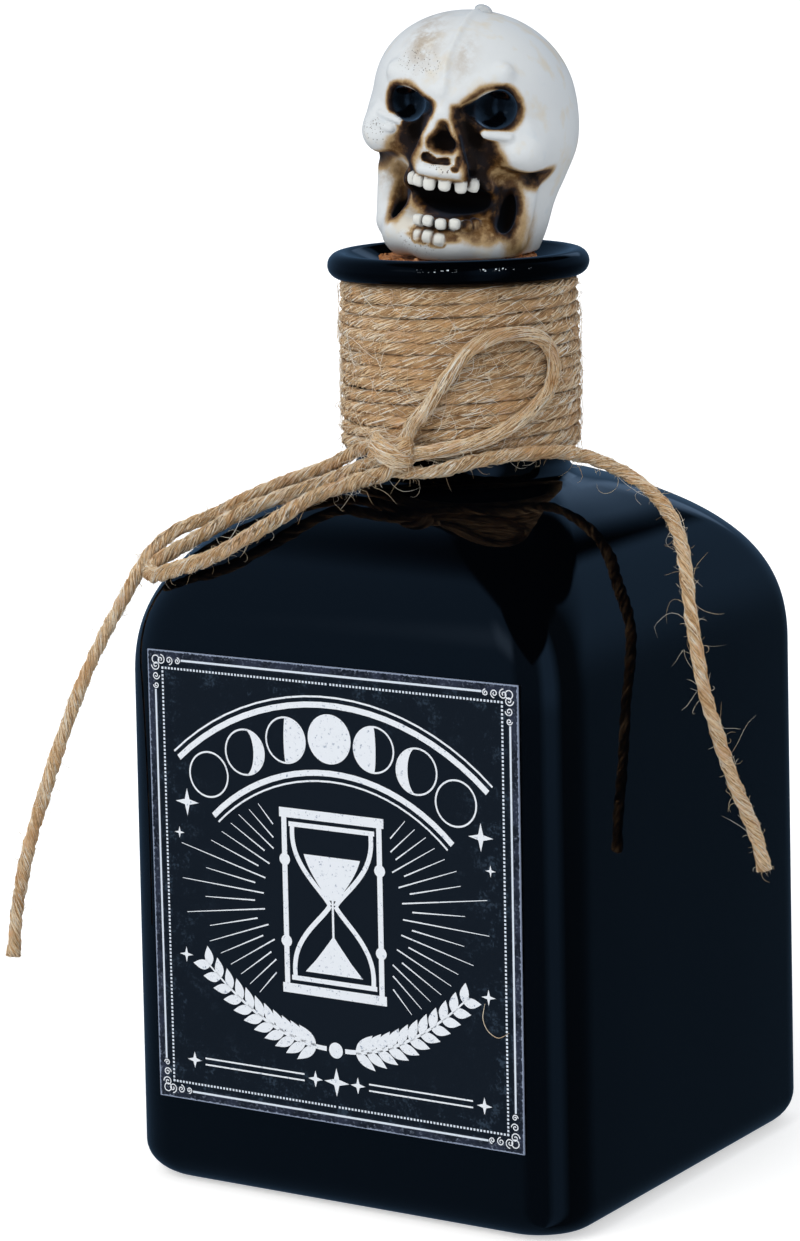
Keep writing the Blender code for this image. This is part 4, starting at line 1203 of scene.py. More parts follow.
        laid = strand.laid(each=0.29 * MM, long=9 * MM, lift=0.32 * MM, clear=clear, facing=outward, steps=5)
        fibre_piece("neck_winding_laid_fibres", laid, 0.25 * MM, WoundFibre(), 321)
        loose = np.vstack([strand.loose(2.6 * MM, (0.8 * MM, 5 * MM), clear, keep=outside),
                           self.wisps(clear)])
        fibre_piece("neck_winding_loose_fibres", loose, 0.10 * MM, LooseFibre(), 421)

    def wisps(self, clear: Clearance) -> np.ndarray:
        """Returns long curling fibres that cling to the winding and cross its turns."""
        rng = np.random.default_rng(77)
        count, steps = self.wisp_count, 11
        low, high = self.winding_levels
        reach = self.neck_radius + self.winding_diameter + 0.25 * MM
        length = rng.uniform(3, 16, count) * MM * rng.uniform(0.4, 1, count)
        heading = rng.normal(0, 0.75, count) + math.pi * rng.integers(0, 2, count)
        turning = rng.normal(0, 1.5, count)
        azimuth, level = rng.uniform(0, 2 * math.pi, count), rng.uniform(low - 0.5 * MM, high, count)
        stand = rng.uniform(0.0, 0.4, count) * MM
        lines = []
        for step in range(steps):
            share = step / (steps - 1)
            radius = reach + stand * (0.4 + math.sin(math.pi * share)) + rng.normal(0, 0.08, count) * MM
            lines.append(np.stack([radius * np.cos(azimuth), radius * np.sin(azimuth),
                                   np.minimum(level, high + 0.8 * MM)], axis=1))
            azimuth = azimuth + np.cos(heading) * length / steps / reach
            level = level + np.sin(heading) * length / steps
            heading = heading + turning / steps + rng.normal(0, 0.14, count)
        lines = np.stack(lines, axis=1)
        return clear.push(lines.reshape(-1, 3)).reshape(lines.shape)

    def build_knot(self, clear: Clearance) -> None:
        """Ties the knot: a broad wrap that crosses a bundle of strands on the slant."""
        centre = np.array(self.knot_place)
        slope, over, out = np.array(((0.89, 0.0, -0.46), (0.46, 0.0, 0.89), (0.05, -1.0, 0.0)))
        turns = np.linspace(-0.2 * math.pi, 3.9 * math.pi, 170)
        wrap = (centre + np.cos(turns)[:, None] * slope * 3.6 * MM + np.sin(turns)[:, None] * out * 1.7 * MM
                + ((turns / (4 * math.pi) - 0.5) * 2.0 * MM)[:, None] * over)
        share = np.linspace(-1, 1, 60)[:, None]
        core = (centre + share * np.array((0.93, 0.10, 0.22)) * 4.4 * MM - out * 0.5 * MM
                + (1 - share**2) * out * 0.4 * MM)
        strands = [Strand("knot_wrap", wrap, 2.5 * MM, 30 * MM, seed=31, relief=0.4),
                   Strand("knot_core", core, 3.6 * MM, 26 * MM, seed=41, relief=0.5)]
        knot = joined([strand.build(JuteFibre()) for strand in strands], "bow_knot_strands")
        settle(knot, Body.BOTTLE, Slot.TWINE, "bow_knot")
        laid = np.vstack([strand.laid(each=0.05 * MM, long=5 * MM, lift=0.30 * MM, clear=clear)
                          for strand in strands])
        fibre_piece("bow_knot_laid_fibres", laid, 0.17 * MM, LaidFibre(), 331)
        loose = np.vstack([strand.loose(0.22 * MM, (1 * MM, 9 * MM), clear) for strand in strands])
        fibre_piece("bow_knot_loose_fibres", loose, 0.09 * MM, LooseFibre(), 431)


@dataclass(frozen=True)
class Section:
    """A level outline of the bottle: a square's half width, its corner radius and its height."""

    half: float
    corner: float
    height: float


@dataclass
class GlassBottle:
    """The square bottle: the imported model's own sections, taken closer together for clean mirror images."""

    half_width: float = 47.8 * MM
    draft: float = 0.5 * MM
    body_height: float = 95.6 * MM
    corner_radius: float = 11.0 * MM
    base_fillet: float = 6.2 * MM
    base_thickness: float = 7.5 * MM
    wall: float = 3.6 * MM
    floor_fillet: float = 6.0 * MM
    punt_half: float = 34.0 * MM
    punt_corner: float = 14.0 * MM
    punt_depth: float = 2.4 * MM
    punt_slope: float = 9.0 * MM
    shoulder_rise: float = 34.6 * MM
    shoulder_pulls: tuple[float, float] = (13.8 * MM, 22.3 * MM)
    shoulder_slope: float = math.radians(23.4)
    rounding_power: float = 1.3
    neck_radius: float = 19.7 * MM
    neck_foot_radius: float = 4.3 * MM
    neck_length: float = 33.3 * MM
    lip_radius: float = 24.35 * MM
    bead_radius: float = 2.4 * MM
    bore_radius: float = 15.0 * MM
    dish_depth: float = 3.0 * MM
    dish_radius: float = 16.6 * MM
    bore_edge: float = 0.8 * MM
    corner_steps: int = 14
    shoulder_steps: int = 34
    arc_steps: int = 10
    bead_steps: int = 20

    def __post_init__(self) -> None:
        """Works out the levels that follow from the sizes."""
        self.neck_foot = self.body_height + self.shoulder_rise
        self.straight_foot = self.neck_foot + self.neck_foot_radius * math.cos(self.shoulder_slope)
        self.neck_top = self.straight_foot + self.neck_length
        self.lip_top = self.neck_top + 2 * self.bead_radius
        self.bore_top = self.lip_top - self.dish_depth

    def arc(self, across: float, up: float, radius: float, start: float, end: float, steps: int) -> list:
        """Returns points across and up along an arc between two angles."""
        angles = np.linspace(start, end, steps + 1)
        return [(across + radius * math.cos(angle), up + radius * math.sin(angle)) for angle in angles]

    def side_at(self, height: float) -> float:
        """Returns half the body's width at a height."""
        return self.half_width + self.draft * (1 - height / self.body_height)

    def shoulder_corner(self, half: float) -> float:
        """Returns the shoulder's corner radius, which grows from the body's to the round neck's."""
        share = max((self.half_width - half) / (self.half_width - self.neck_radius), 0)
        grown = self.corner_radius + (self.neck_radius - self.corner_radius) * share**self.rounding_power
        return min(max(grown, self.corner_radius), half)

    def shoulder_point(self, share: float) -> tuple[float, float, float, float]:
        """Returns a point of the shoulder's side view and its outward direction."""
        foot = np.array((self.half_width, self.body_height))
        head = np.array((self.neck_radius + self.neck_foot_radius * (1 - math.sin(self.shoulder_slope)),
                         self.neck_foot))
        low = foot + (0, self.shoulder_pulls[0])
        high = head + self.shoulder_pulls[1] * np.array((math.cos(self.shoulder_slope),
                                                         -math.sin(self.shoulder_slope)))
        rest = 1 - share
        point = rest**3 * foot + 3 * rest**2 * share * low + 3 * rest * share**2 * high + share**3 * head
        along = 3 * rest**2 * (low - foot) + 6 * rest * share * (high - low) + 3 * share**2 * (head - high)
        normal = np.array((along[1], -along[0])) / np.linalg.norm(along)
        return point[0], point[1], normal[0], normal[1]

    def outer_sections(self) -> list[Section]:
        """Returns the outside from the push-up under the base to the top of the neck."""
        found = [Section(self.punt_half - self.punt_slope, self.punt_corner, self.punt_depth),
                 Section(self.punt_half, self.punt_corner, 0)]
        base = self.side_at(0)
        for across, up in self.arc(base - self.base_fillet, self.base_fillet, self.base_fillet,
                                   -math.pi / 2, 0, self.arc_steps):
            found.append(Section(across, self.corner_radius - (base - across) / 2, up))
        for share in np.linspace(0, 1, self.shoulder_steps, endpoint=False):
            half, height, _, _ = self.shoulder_point(share)
            found.append(Section(half, self.shoulder_corner(half), height))
        for across, up in self.arc(self.neck_radius + self.neck_foot_radius, self.straight_foot,
                                   self.neck_foot_radius, -math.pi / 2 - self.shoulder_slope, -math.pi,
                                   self.arc_steps):
            found.append(Section(across, across, up))
        found.append(Section(self.neck_radius, self.neck_radius, self.neck_top))
        return found

    def lip_sections(self) -> list[Section]:
        """Returns the rolled lip, over its bead and down the dish to the bore."""
        outline = self.arc(self.lip_radius - self.bead_radius, self.neck_top + self.bead_radius,
                           self.bead_radius, -math.pi / 2, math.pi * 3 / 4, self.bead_steps)
        outline.append((self.dish_radius, self.bore_top + self.bore_edge))
        outline += self.arc(self.bore_radius + self.bore_edge, self.bore_top - self.bore_edge, self.bore_edge,
                            math.pi / 2, math.pi, 4)
        return [Section(across, across, up) for across, up in outline]

    def inner_sections(self) -> list[Section]:
        """Returns the inside, from the bore's foot down the shoulder to the floor."""
        neck_wall = self.neck_radius - self.bore_radius
        start = -math.pi / 2 - self.shoulder_slope
        found = []
        for share in np.linspace(0, 1, self.arc_steps + 1):
            angle = -math.pi + (start + math.pi) * share
            reach = self.neck_foot_radius + neck_wall + (self.wall - neck_wall) * share
            across = self.neck_radius + self.neck_foot_radius + reach * math.cos(angle)
            found.append(Section(across, across, self.straight_foot + reach * math.sin(angle)))
        for share in np.linspace(1, 0, self.shoulder_steps + 1)[1:]:
            half, height, out_across, out_up = self.shoulder_point(share)
            inner = half - self.wall * out_across
            found.append(Section(inner, min(max(self.shoulder_corner(half) - self.wall, 0), inner),
                                 height - self.wall * out_up))
        floor = self.side_at(self.base_thickness) - self.wall
        for across, up in self.arc(floor - self.floor_fillet, self.base_thickness + self.floor_fillet,
                                   self.floor_fillet, 0, -math.pi / 2, self.arc_steps):
            found.append(Section(across, self.corner_radius - self.wall - (floor - across) / 2, up))
        return found

    def quarter_angles(self, section: Section) -> np.ndarray:
        """Returns the angles of a quarter of a section, closer together round its corner."""
        flat = section.half - section.corner
        flat_end = math.atan2(flat, section.half)
        turns = np.linspace(0, math.pi / 2, self.corner_steps + 1)
        corner = np.arctan2(flat + section.corner * np.sin(turns), flat + section.corner * np.cos(turns))
        drawn = np.concatenate(([0.0, flat_end / 2], corner, [math.pi / 2 - flat_end / 2]))
        body_share = self.corner_radius / self.half_width
        roundness = min(max((section.corner / section.half - body_share) / (1 - body_share), 0), 1)
        return (1 - roundness) * drawn + roundness * np.linspace(0, math.pi / 2, len(drawn), endpoint=False)

    def reach_of(self, section: Section, angle: float) -> float:
        """Returns how far a rounded square reaches at an angle between 0 and a quarter turn."""
        along, over = math.cos(angle), math.sin(angle)
        flat = section.half - section.corner
        if over * section.half <= flat * along:
            return section.half / along
        if along * section.half <= flat * over:
            return section.half / over
        middle = flat * (along + over)
        return middle + math.sqrt(max(middle**2 - 2 * flat**2 + section.corner**2, 0))

    def ring(self, section: Section) -> list[Point]:
        """Returns the points round a section."""
        points = []
        for quarter in range(4):
            for angle in self.quarter_angles(section):
                reach, turn = self.reach_of(section, angle), quarter * math.pi / 2 + angle
                points.append((reach * math.cos(turn), reach * math.sin(turn), section.height))
        return points

    def build(self) -> bpy.types.Object:
        """Joins the sections into one closed wall of glass."""
        sections = [*self.outer_sections(), *self.lip_sections(), *self.inner_sections()]
        rings = np.array([self.ring(section) for section in sections])
        count, sides = rings.shape[:2]
        index = np.arange(count * sides).reshape(count, sides)
        faces = [*ring_quads(index), index[0][::-1], index[-1]]
        bottle = mesh_piece("black_glass_bottle", rings.reshape(-1, 3), faces, BlackGlass())
        bottle.data.set_sharp_from_angle(angle=math.radians(50))
        return settle(bottle, Body.BOTTLE, Slot.GLASS, "glass_bottle")


def points_round(middle: Sequence[float], reach: float | np.ndarray, turns: np.ndarray) -> np.ndarray:
    """Returns flat points at a reach and at turns in radians round a middle."""
    return np.stack([middle[0] + reach * np.cos(turns), middle[1] + reach * np.sin(turns)], axis=1)


@dataclass
class InkDrawing:
    """Flat ink shapes drawn in millimetres from the label's middle, across and up."""

    outlines: list[np.ndarray] = field(default_factory=list)

    def shape(self, points: Sequence[Sequence[float]]) -> None:
        """Fills an outline."""
        self.outlines.append(np.array(points, dtype=float))

    def disc(self, middle: Sequence[float], radius: float, sides: int = 32) -> None:
        """Fills a circle."""
        turns = np.arange(sides) * 2 * math.pi / sides
        self.shape(points_round(middle, radius, turns))

    def stroke(self, points: Sequence[Sequence[float]], width: float | Sequence[float]) -> None:
        """Draws a line of a width, or of a width at each of its points."""
        line = np.array(points, dtype=float)
        along = unit(np.gradient(line, axis=0))
        half = np.reshape(np.broadcast_to(width, len(line)), (-1, 1)) / 2
        side = np.stack([-along[:, 1], along[:, 0]], axis=1) * half
        left, right = line + side, line - side
        for here in range(len(line) - 1):
            self.shape([left[here], right[here], right[here + 1], left[here + 1]])

    def ring(self, middle: Sequence[float], radius: float, width: float, start: float = 0.0,
             end: float = 360.0) -> None:
        """Draws an arc of a circle between two angles in degrees."""
        turns = np.radians(np.linspace(start, end, max(int(abs(end - start) / 4), 3) + 1))
        self.stroke(points_round(middle, radius, turns), width)

    def crescent(self, middle: Sequence[float], radius: float, phase: float) -> None:
        """Fills a moon, lit from the right, or from the left if its radius is below 0.

        The phase is 1 for full, 0 for half and -1 for new.
        """
        side, size = (1, radius) if radius > 0 else (-1, -radius)
        turns = np.linspace(-math.pi / 2, math.pi / 2, 20)
        outer = np.stack([middle[0] + side * size * np.cos(turns), middle[1] + size * np.sin(turns)], axis=1)
        inner = np.stack([middle[0] - side * phase * size * np.cos(turns[::-1]),
                          middle[1] + size * np.sin(turns[::-1])], axis=1)
        self.shape(np.vstack([outer, inner[1:-1]]))

    def star(self, middle: Sequence[float], long: float, short: float, points: int = 4) -> None:
        """Fills a star with straight arms."""
        turns = np.arange(points * 2) * math.pi / points + math.pi / 2
        reach = np.where(np.arange(points * 2) % 2 == 0, long, short)
        self.shape(points_round(middle, reach, turns))

    def leaf(self, root: Sequence[float], direction: float, length: float, width: float) -> None:
        """Fills a pointed leaf that grows from a root in a direction in degrees."""
        share = np.linspace(0, 1, 12)
        half = width / 2 * np.sin(math.pi * share**0.8)
        turn = math.radians(direction)
        along, side = np.array((math.cos(turn), math.sin(turn))), np.array((-math.sin(turn), math.cos(turn)))
        left = np.array(root) + share[:, None] * length * along + half[:, None] * side
        right = np.array(root) + share[:, None] * length * along - half[:, None] * side
        self.shape(np.vstack([left, right[::-1][1:-1]]))


@dataclass
class FrontLabel:
    """The thin front label and its own generic drawing: an hourglass under moons, between laurel sprays."""

    width: float = 79 * MM
    height: float = 85 * MM
    thickness: float = 0.3 * MM
    corner: float = 0.6 * MM
    shift: float = 0.5 * MM
    foot: float = 17 * MM
    gap: float = 0.05 * MM
    ink_gap: float = 0.02 * MM

    def build(self, glass: GlassBottle) -> None:
        """Builds the label on the bottle's front and prints its drawing.

        Args:
            glass: the bottle whose front carries it.
        """
        middle = self.foot + self.height / 2
        front = -(glass.side_at(middle) + 0.3 * MM + self.thickness / 2)
        lean = math.atan2(glass.draft, glass.body_height)
        bpy.ops.mesh.primitive_cube_add(size=1, location=(self.shift, front, middle), rotation=(-lean, 0, 0),
                                        scale=(self.width, self.thickness, self.height))
        label = bare(bpy.context.object)
        label.name = "paper_label"
        label.data.materials.append(LabelStock().material())
        settle(label, Body.BOTTLE, Slot.LABEL, "front_label")
        self.print_ink(self.draw(), lean, front, middle)
        self.leave_fibre(front, middle)

    def leave_fibre(self, front: float, middle: float) -> None:
        """Leaves one stray jute fibre lying on the label's lower right, in a hook.

        Args:
            front: the place of the label's middle plane.
            middle: the height of its middle.
        """
        share = np.linspace(0, 1, 26)
        across = np.interp(share, (0, 0.25, 0.5, 0.75, 1), (31.9, 31.4, 32.5, 34.7, 36.8))
        up = np.interp(share, (0, 0.25, 0.5, 0.75, 1), (-15.6, -18.4, -20.6, -21.8, -20.4))
        for _ in range(6):
            across[1:-1] = (across[:-2] + across[1:-1] * 2 + across[2:]) / 4
            up[1:-1] = (up[:-2] + up[1:-1] * 2 + up[2:]) / 4
        off = front - self.thickness / 2 - (0.22 + 0.35 * np.sin(math.pi * share)) * MM
        line = np.stack([self.shift + across * MM, off + 0 * share, middle + up * MM], axis=1)
        fibre_piece("stray_fibre", line[None], 0.15 * MM, LooseFibre(), 77)

    def print_ink(self, drawing: InkDrawing, lean: float, front: float, middle: float) -> None:
        """Lays the drawing on the label's face.

        Args:
            drawing: the shapes.
            lean: the label's lean in radians.
            front: the place of the label's middle plane.
            middle: the height of its middle.
        """
        points, faces = [], []
        for number, outline in enumerate(drawing.outlines):
            faces.append(list(range(len(points), len(points) + len(outline))))
            reach = self.thickness / 2 + self.ink_gap * (1 + 0.1 * (number % 7))
            for across, up in outline * MM:
                points.append((self.shift + across, front - reach * math.cos(lean) + up * math.sin(lean),
                               middle + up * math.cos(lean)))
        ink = mesh_piece("label_drawing", np.array(points), faces, PaleInk())
        settle(ink, Body.BOTTLE, Slot.LABEL)

    def draw(self) -> InkDrawing:
        """Returns the drawing, with no letters in it."""
        ink = InkDrawing()
        self.draw_moons(ink)
        self.draw_hourglass(ink)
        self.draw_sprays(ink)
        self.draw_corners(ink)
        return ink

    def draw_moons(self, ink: InkDrawing) -> None:
        """Draws an arch of moons between two bands."""
        centre, radius, moon = (0.0, -14.0), 43.2, 4.2
        for number in range(-3, 4):
            angle = math.radians(90 - number * 12.6)
            spot = (centre[0] + radius * math.cos(angle), centre[1] + radius * math.sin(angle))
            if number == 0:
                ink.disc(spot, moon + 0.4)
            else:
                size = moon if number < 0 else -moon
                ink.crescent(spot, size, 0.65 - 0.55 * abs(number))
                ink.ring(spot, moon, 0.34)
        for reach, width in ((36.9, 1.1), (35.4, 0.35), (49.4, 1.1), (50.9, 0.35)):
            ink.ring(centre, reach, width, 46 if reach < 40 else 48, 134 if reach < 40 else 132)

    def bulb(self, share: np.ndarray) -> np.ndarray:
        """Returns half the width of an hourglass bulb from its cap, at 0, to its neck, at 1."""
        return 7.9 * np.sqrt(np.clip(1 - (share * 1.02 - 0.12) ** 2 * 1.05, 0, 1)) * (1 - share**2.6) + 0.6

    def draw_hourglass(self, ink: InkDrawing) -> None:
        """Draws the hourglass with its sand, posts and rays."""
        middle, tall = np.array((0.0, -1.6)), 13.9
        for end in (-1, 1):
            for low, high, half in ((tall + 1.6, tall + 3.4, 11.2), (tall, tall + 0.9, 9.2)):
                ink.shape(middle + [(-half, end * low), (half, end * low), (half, end * high),
                                    (-half, end * high)])
            share = np.linspace(0, 1, 24)
            for side in (-1, 1):
                glass = np.stack([side * self.bulb(share), end * tall * (1 - share)], axis=1)
                ink.stroke(middle + glass, 0.95)
                ink.stroke(middle + [(side * 10.2, end * (tall + 1.6)), (side * 10.2, 0)], 1.1)
                ink.disc(middle + (side * 10.2, end * tall * 0.55), 1.15, 20)
        fall = np.linspace(0.35, 0.93, 12)
        wide = self.bulb(fall) * 0.78
        ink.shape(middle + [*zip(wide, tall * (1 - fall)), *zip(-wide[::-1], tall * (1 - fall[::-1]))])
        ink.shape(middle + [(-6.2, -12.9), (-3.8, -10.4), (-1.2, -7.2), (0, -5.6), (1.2, -7.2), (3.8, -10.4),
                            (6.2, -12.9)])
        ink.stroke(middle + [(0, 1.0), (0, -6.0)], 0.45)
        self.draw_rays(ink, middle)

    def draw_rays(self, ink: InkDrawing, middle: np.ndarray) -> None:
        """Draws rays round the hourglass that stop short of the arch, the sprays and the border."""
        for number in range(64):
            angle = (number + 0.5) * 2 * math.pi / 64
            way = np.array((math.cos(angle), math.sin(angle)))
            near, far = (15.0, 36.0) if number % 2 else (17.0, 28.0)
            near = max(near, 12.6 / max(abs(way[0]), 0.01))
            while far > near and not self.clear_for_rays(middle + way * far):
                far -= 0.5
            if far - near > 3:
                ink.stroke([middle + way * near, middle + way * far], (0.28, 0.12))

    def clear_for_rays(self, spot: np.ndarray) -> bool:
        """Returns whether a ray may reach a place."""
        under_arch = math.hypot(spot[0], spot[1] + 14) < 34.0
        above_spray = spot[1] > -25.0 + 13.5 * (abs(spot[0]) / 27.5) ** 1.9
        return abs(spot[0]) < 33 and above_spray and (under_arch or spot[1] < 8)

    def draw_sprays(self, ink: InkDrawing) -> None:
        """Draws two laurel sprays, small stars and the rule below."""
        for side in (-1, 1):
            share = np.linspace(0, 1, 24)
            stem = np.stack([side * (2.0 + 26.5 * share), -28.5 + 13.5 * share**1.9], axis=1)
            ink.stroke(stem, np.linspace(0.9, 0.3, 24))
            for number in range(2, 23, 2):
                way = math.degrees(math.atan2(stem[number][1] - stem[number - 1][1],
                                              stem[number][0] - stem[number - 1][0]))
                for turn in (-40, 40):
                    ink.leaf(stem[number], way + turn, 5.3 - number * 0.07, 1.9)
            for across, up, size in ((31.5, 14.5, 2.6), (33.4, 8.6, 1.1), (32.6, -14.5, 1.5)):
                ink.star((side * across, up), size, size * 0.28)
            for rise in (-34.0, -35.2):
                ink.stroke([(side * 7.0, rise), (side * 29.0, rise)], 0.3)
            ink.star((side * 31.4, -34.6), 1.6, 0.5)
            ink.star((side * 4.6, -34.6), 1.6, 0.5)
        ink.star((0, -34.6), 2.7, 0.8)
        ink.disc((0, -28.6), 1.5, 20)

    def draw_corners(self, ink: InkDrawing) -> None:
        """Draws a running scroll along both sides of each corner."""
        for side in (-1, 1):
            for end in (-1, 1):
                corner = np.array((side * (39.5 - 0.7), end * (42.5 - 0.7)))
                ink.ring(corner - (side * 1.1, end * 1.1), 0.75, 0.2)
                for swap in (False, True):
                    for start, size, flip in ((2.2, 0.95, 1), (4.1, 0.8, -1), (5.9, 0.62, 1)):
                        turns = np.linspace(0, 2.9 * math.pi, 34)
                        reach = size * (1 - turns / (3.4 * math.pi))
                        line = np.stack([start + reach * np.sin(turns), 1.1 - flip * reach * np.cos(turns)],
                                        axis=1)
                        if swap:
                            line = line[:, ::-1]
                        ink.stroke(corner - line * (side, end), 0.2)


@dataclass
class CorkStopper:
    """The cork, with the torn top edge that shows between the skull and the lip."""

    radius: float = 14.7 * MM
    taper: float = 1.2 * MM
    length: float = 27 * MM
    top: float = 171.25 * MM
    crumb_count: int = 110

    def build(self) -> bpy.types.Object:
        """Turns the cork and roughens it."""
        bpy.ops.mesh.primitive_cone_add(vertices=96, radius1=self.radius - self.taper, radius2=self.radius,
                                        depth=self.length, location=(0, 0, self.top - self.length / 2))
        cork = bare(bpy.context.object)
        cork.name = "cork_bark"
        bpy.ops.object.mode_set(mode="EDIT")
        bpy.ops.mesh.select_all(action="SELECT")
        bpy.ops.mesh.bevel(offset=0.7 * MM, segments=3)
        bpy.ops.object.mode_set(mode="OBJECT")
        cork.data.shade_smooth()
        cork.data.set_sharp_from_angle(angle=math.radians(40))
        cork.data.materials.append(CorkBark().material())
        settle(cork, Body.STOPPER, Slot.CORK, "cork_stopper")
        self.crumble()
        return cork

    def crumble(self) -> None:
        """Leaves torn crumbs of bark standing round the cork's top edge."""
        rng = np.random.default_rng(8)
        bpy.ops.mesh.primitive_ico_sphere_add(subdivisions=1, radius=1.0)
        model = bpy.context.object
        made = []
        for _ in range(self.crumb_count):
            crumb = model.copy()
            crumb.data = model.data.copy()
            bpy.context.scene.collection.objects.link(crumb)
            turn, reach = rng.uniform(0, 2 * math.pi), rng.uniform(12.6, 14.9) * MM
            size = rng.uniform(0.3, 0.8) * MM
            crumb.location = (reach * math.cos(turn), reach * math.sin(turn), self.top - 0.25 * MM
                              + rng.uniform(-0.2, 0.3) * MM)
            crumb.rotation_euler = rng.uniform(0, 6, 3)
            crumb.scale = size * rng.uniform(0.35, 1.4, 3)
            made.append(crumb)
        bpy.data.objects.remove(model)
        crumbs = bare(joined(made, "cork_crumbs"))
        crumbs.data.shade_smooth()
        crumbs.data.materials.clear()
        crumbs.data.materials.append(CorkBark().material())
        settle(crumbs, Body.STOPPER, Slot.CORK)


@dataclass(frozen=True)
class Lump:
    """An ellipsoid in millimetres from the skull's foot; a pair has its mirror image as well."""

    centre: Point
    radii: Point
    tilt: float = 0.0
    blend: float = 1.0
    mist: float = 0.0
    spread: float = 0.6
    gloss: bool = False
    pair: bool = False
    power: float = 2.0

    def away(self, points: np.ndarray) -> np.ndarray:
        """Returns about how far points lie outside it."""
        turn = math.radians(self.tilt)
        across = (np.abs(points[:, 0]) if self.pair else points[:, 0]) - self.centre[0]
        back, up = (points[:, 1:] - self.centre[1:]).T
        local = np.stack([across * math.cos(turn) + up * math.sin(turn), back,
                          up * math.cos(turn) - across * math.sin(turn)], axis=1)
        shares = np.abs(local) / np.array(self.radii)
        ratio = (shares**self.power).sum(axis=1) ** (1 / self.power)
        slope = np.linalg.norm(shares ** (self.power - 1) / np.array(self.radii), axis=1)
        slope = slope / np.maximum(ratio, 1e-6) ** (self.power - 2)
        return ratio * (ratio - 1) / np.maximum(slope, 1e-6)


@dataclass(frozen=True)
class Bar:
    """A round bar in millimetres whose radius changes evenly from its start to its end."""

    start: Point
    end: Point
    radii: tuple[float, float]
    blend: float = 1.0
    mist: float = 0.0
    spread: float = 0.6
    gloss: bool = False
    pair: bool = False

    def away(self, points: np.ndarray) -> np.ndarray:
        """Returns how far points lie outside it."""
        places = points.copy()
        if self.pair:
            places[:, 0] = np.abs(places[:, 0])
        start, run = np.array(self.start), np.array(self.end) - np.array(self.start)
        share = np.clip((places - start) @ run / run.dot(run), 0, 1)
        radius = self.radii[0] + (self.radii[1] - self.radii[0]) * share
        return np.linalg.norm(places - start - share[:, None] * run, axis=1) - radius


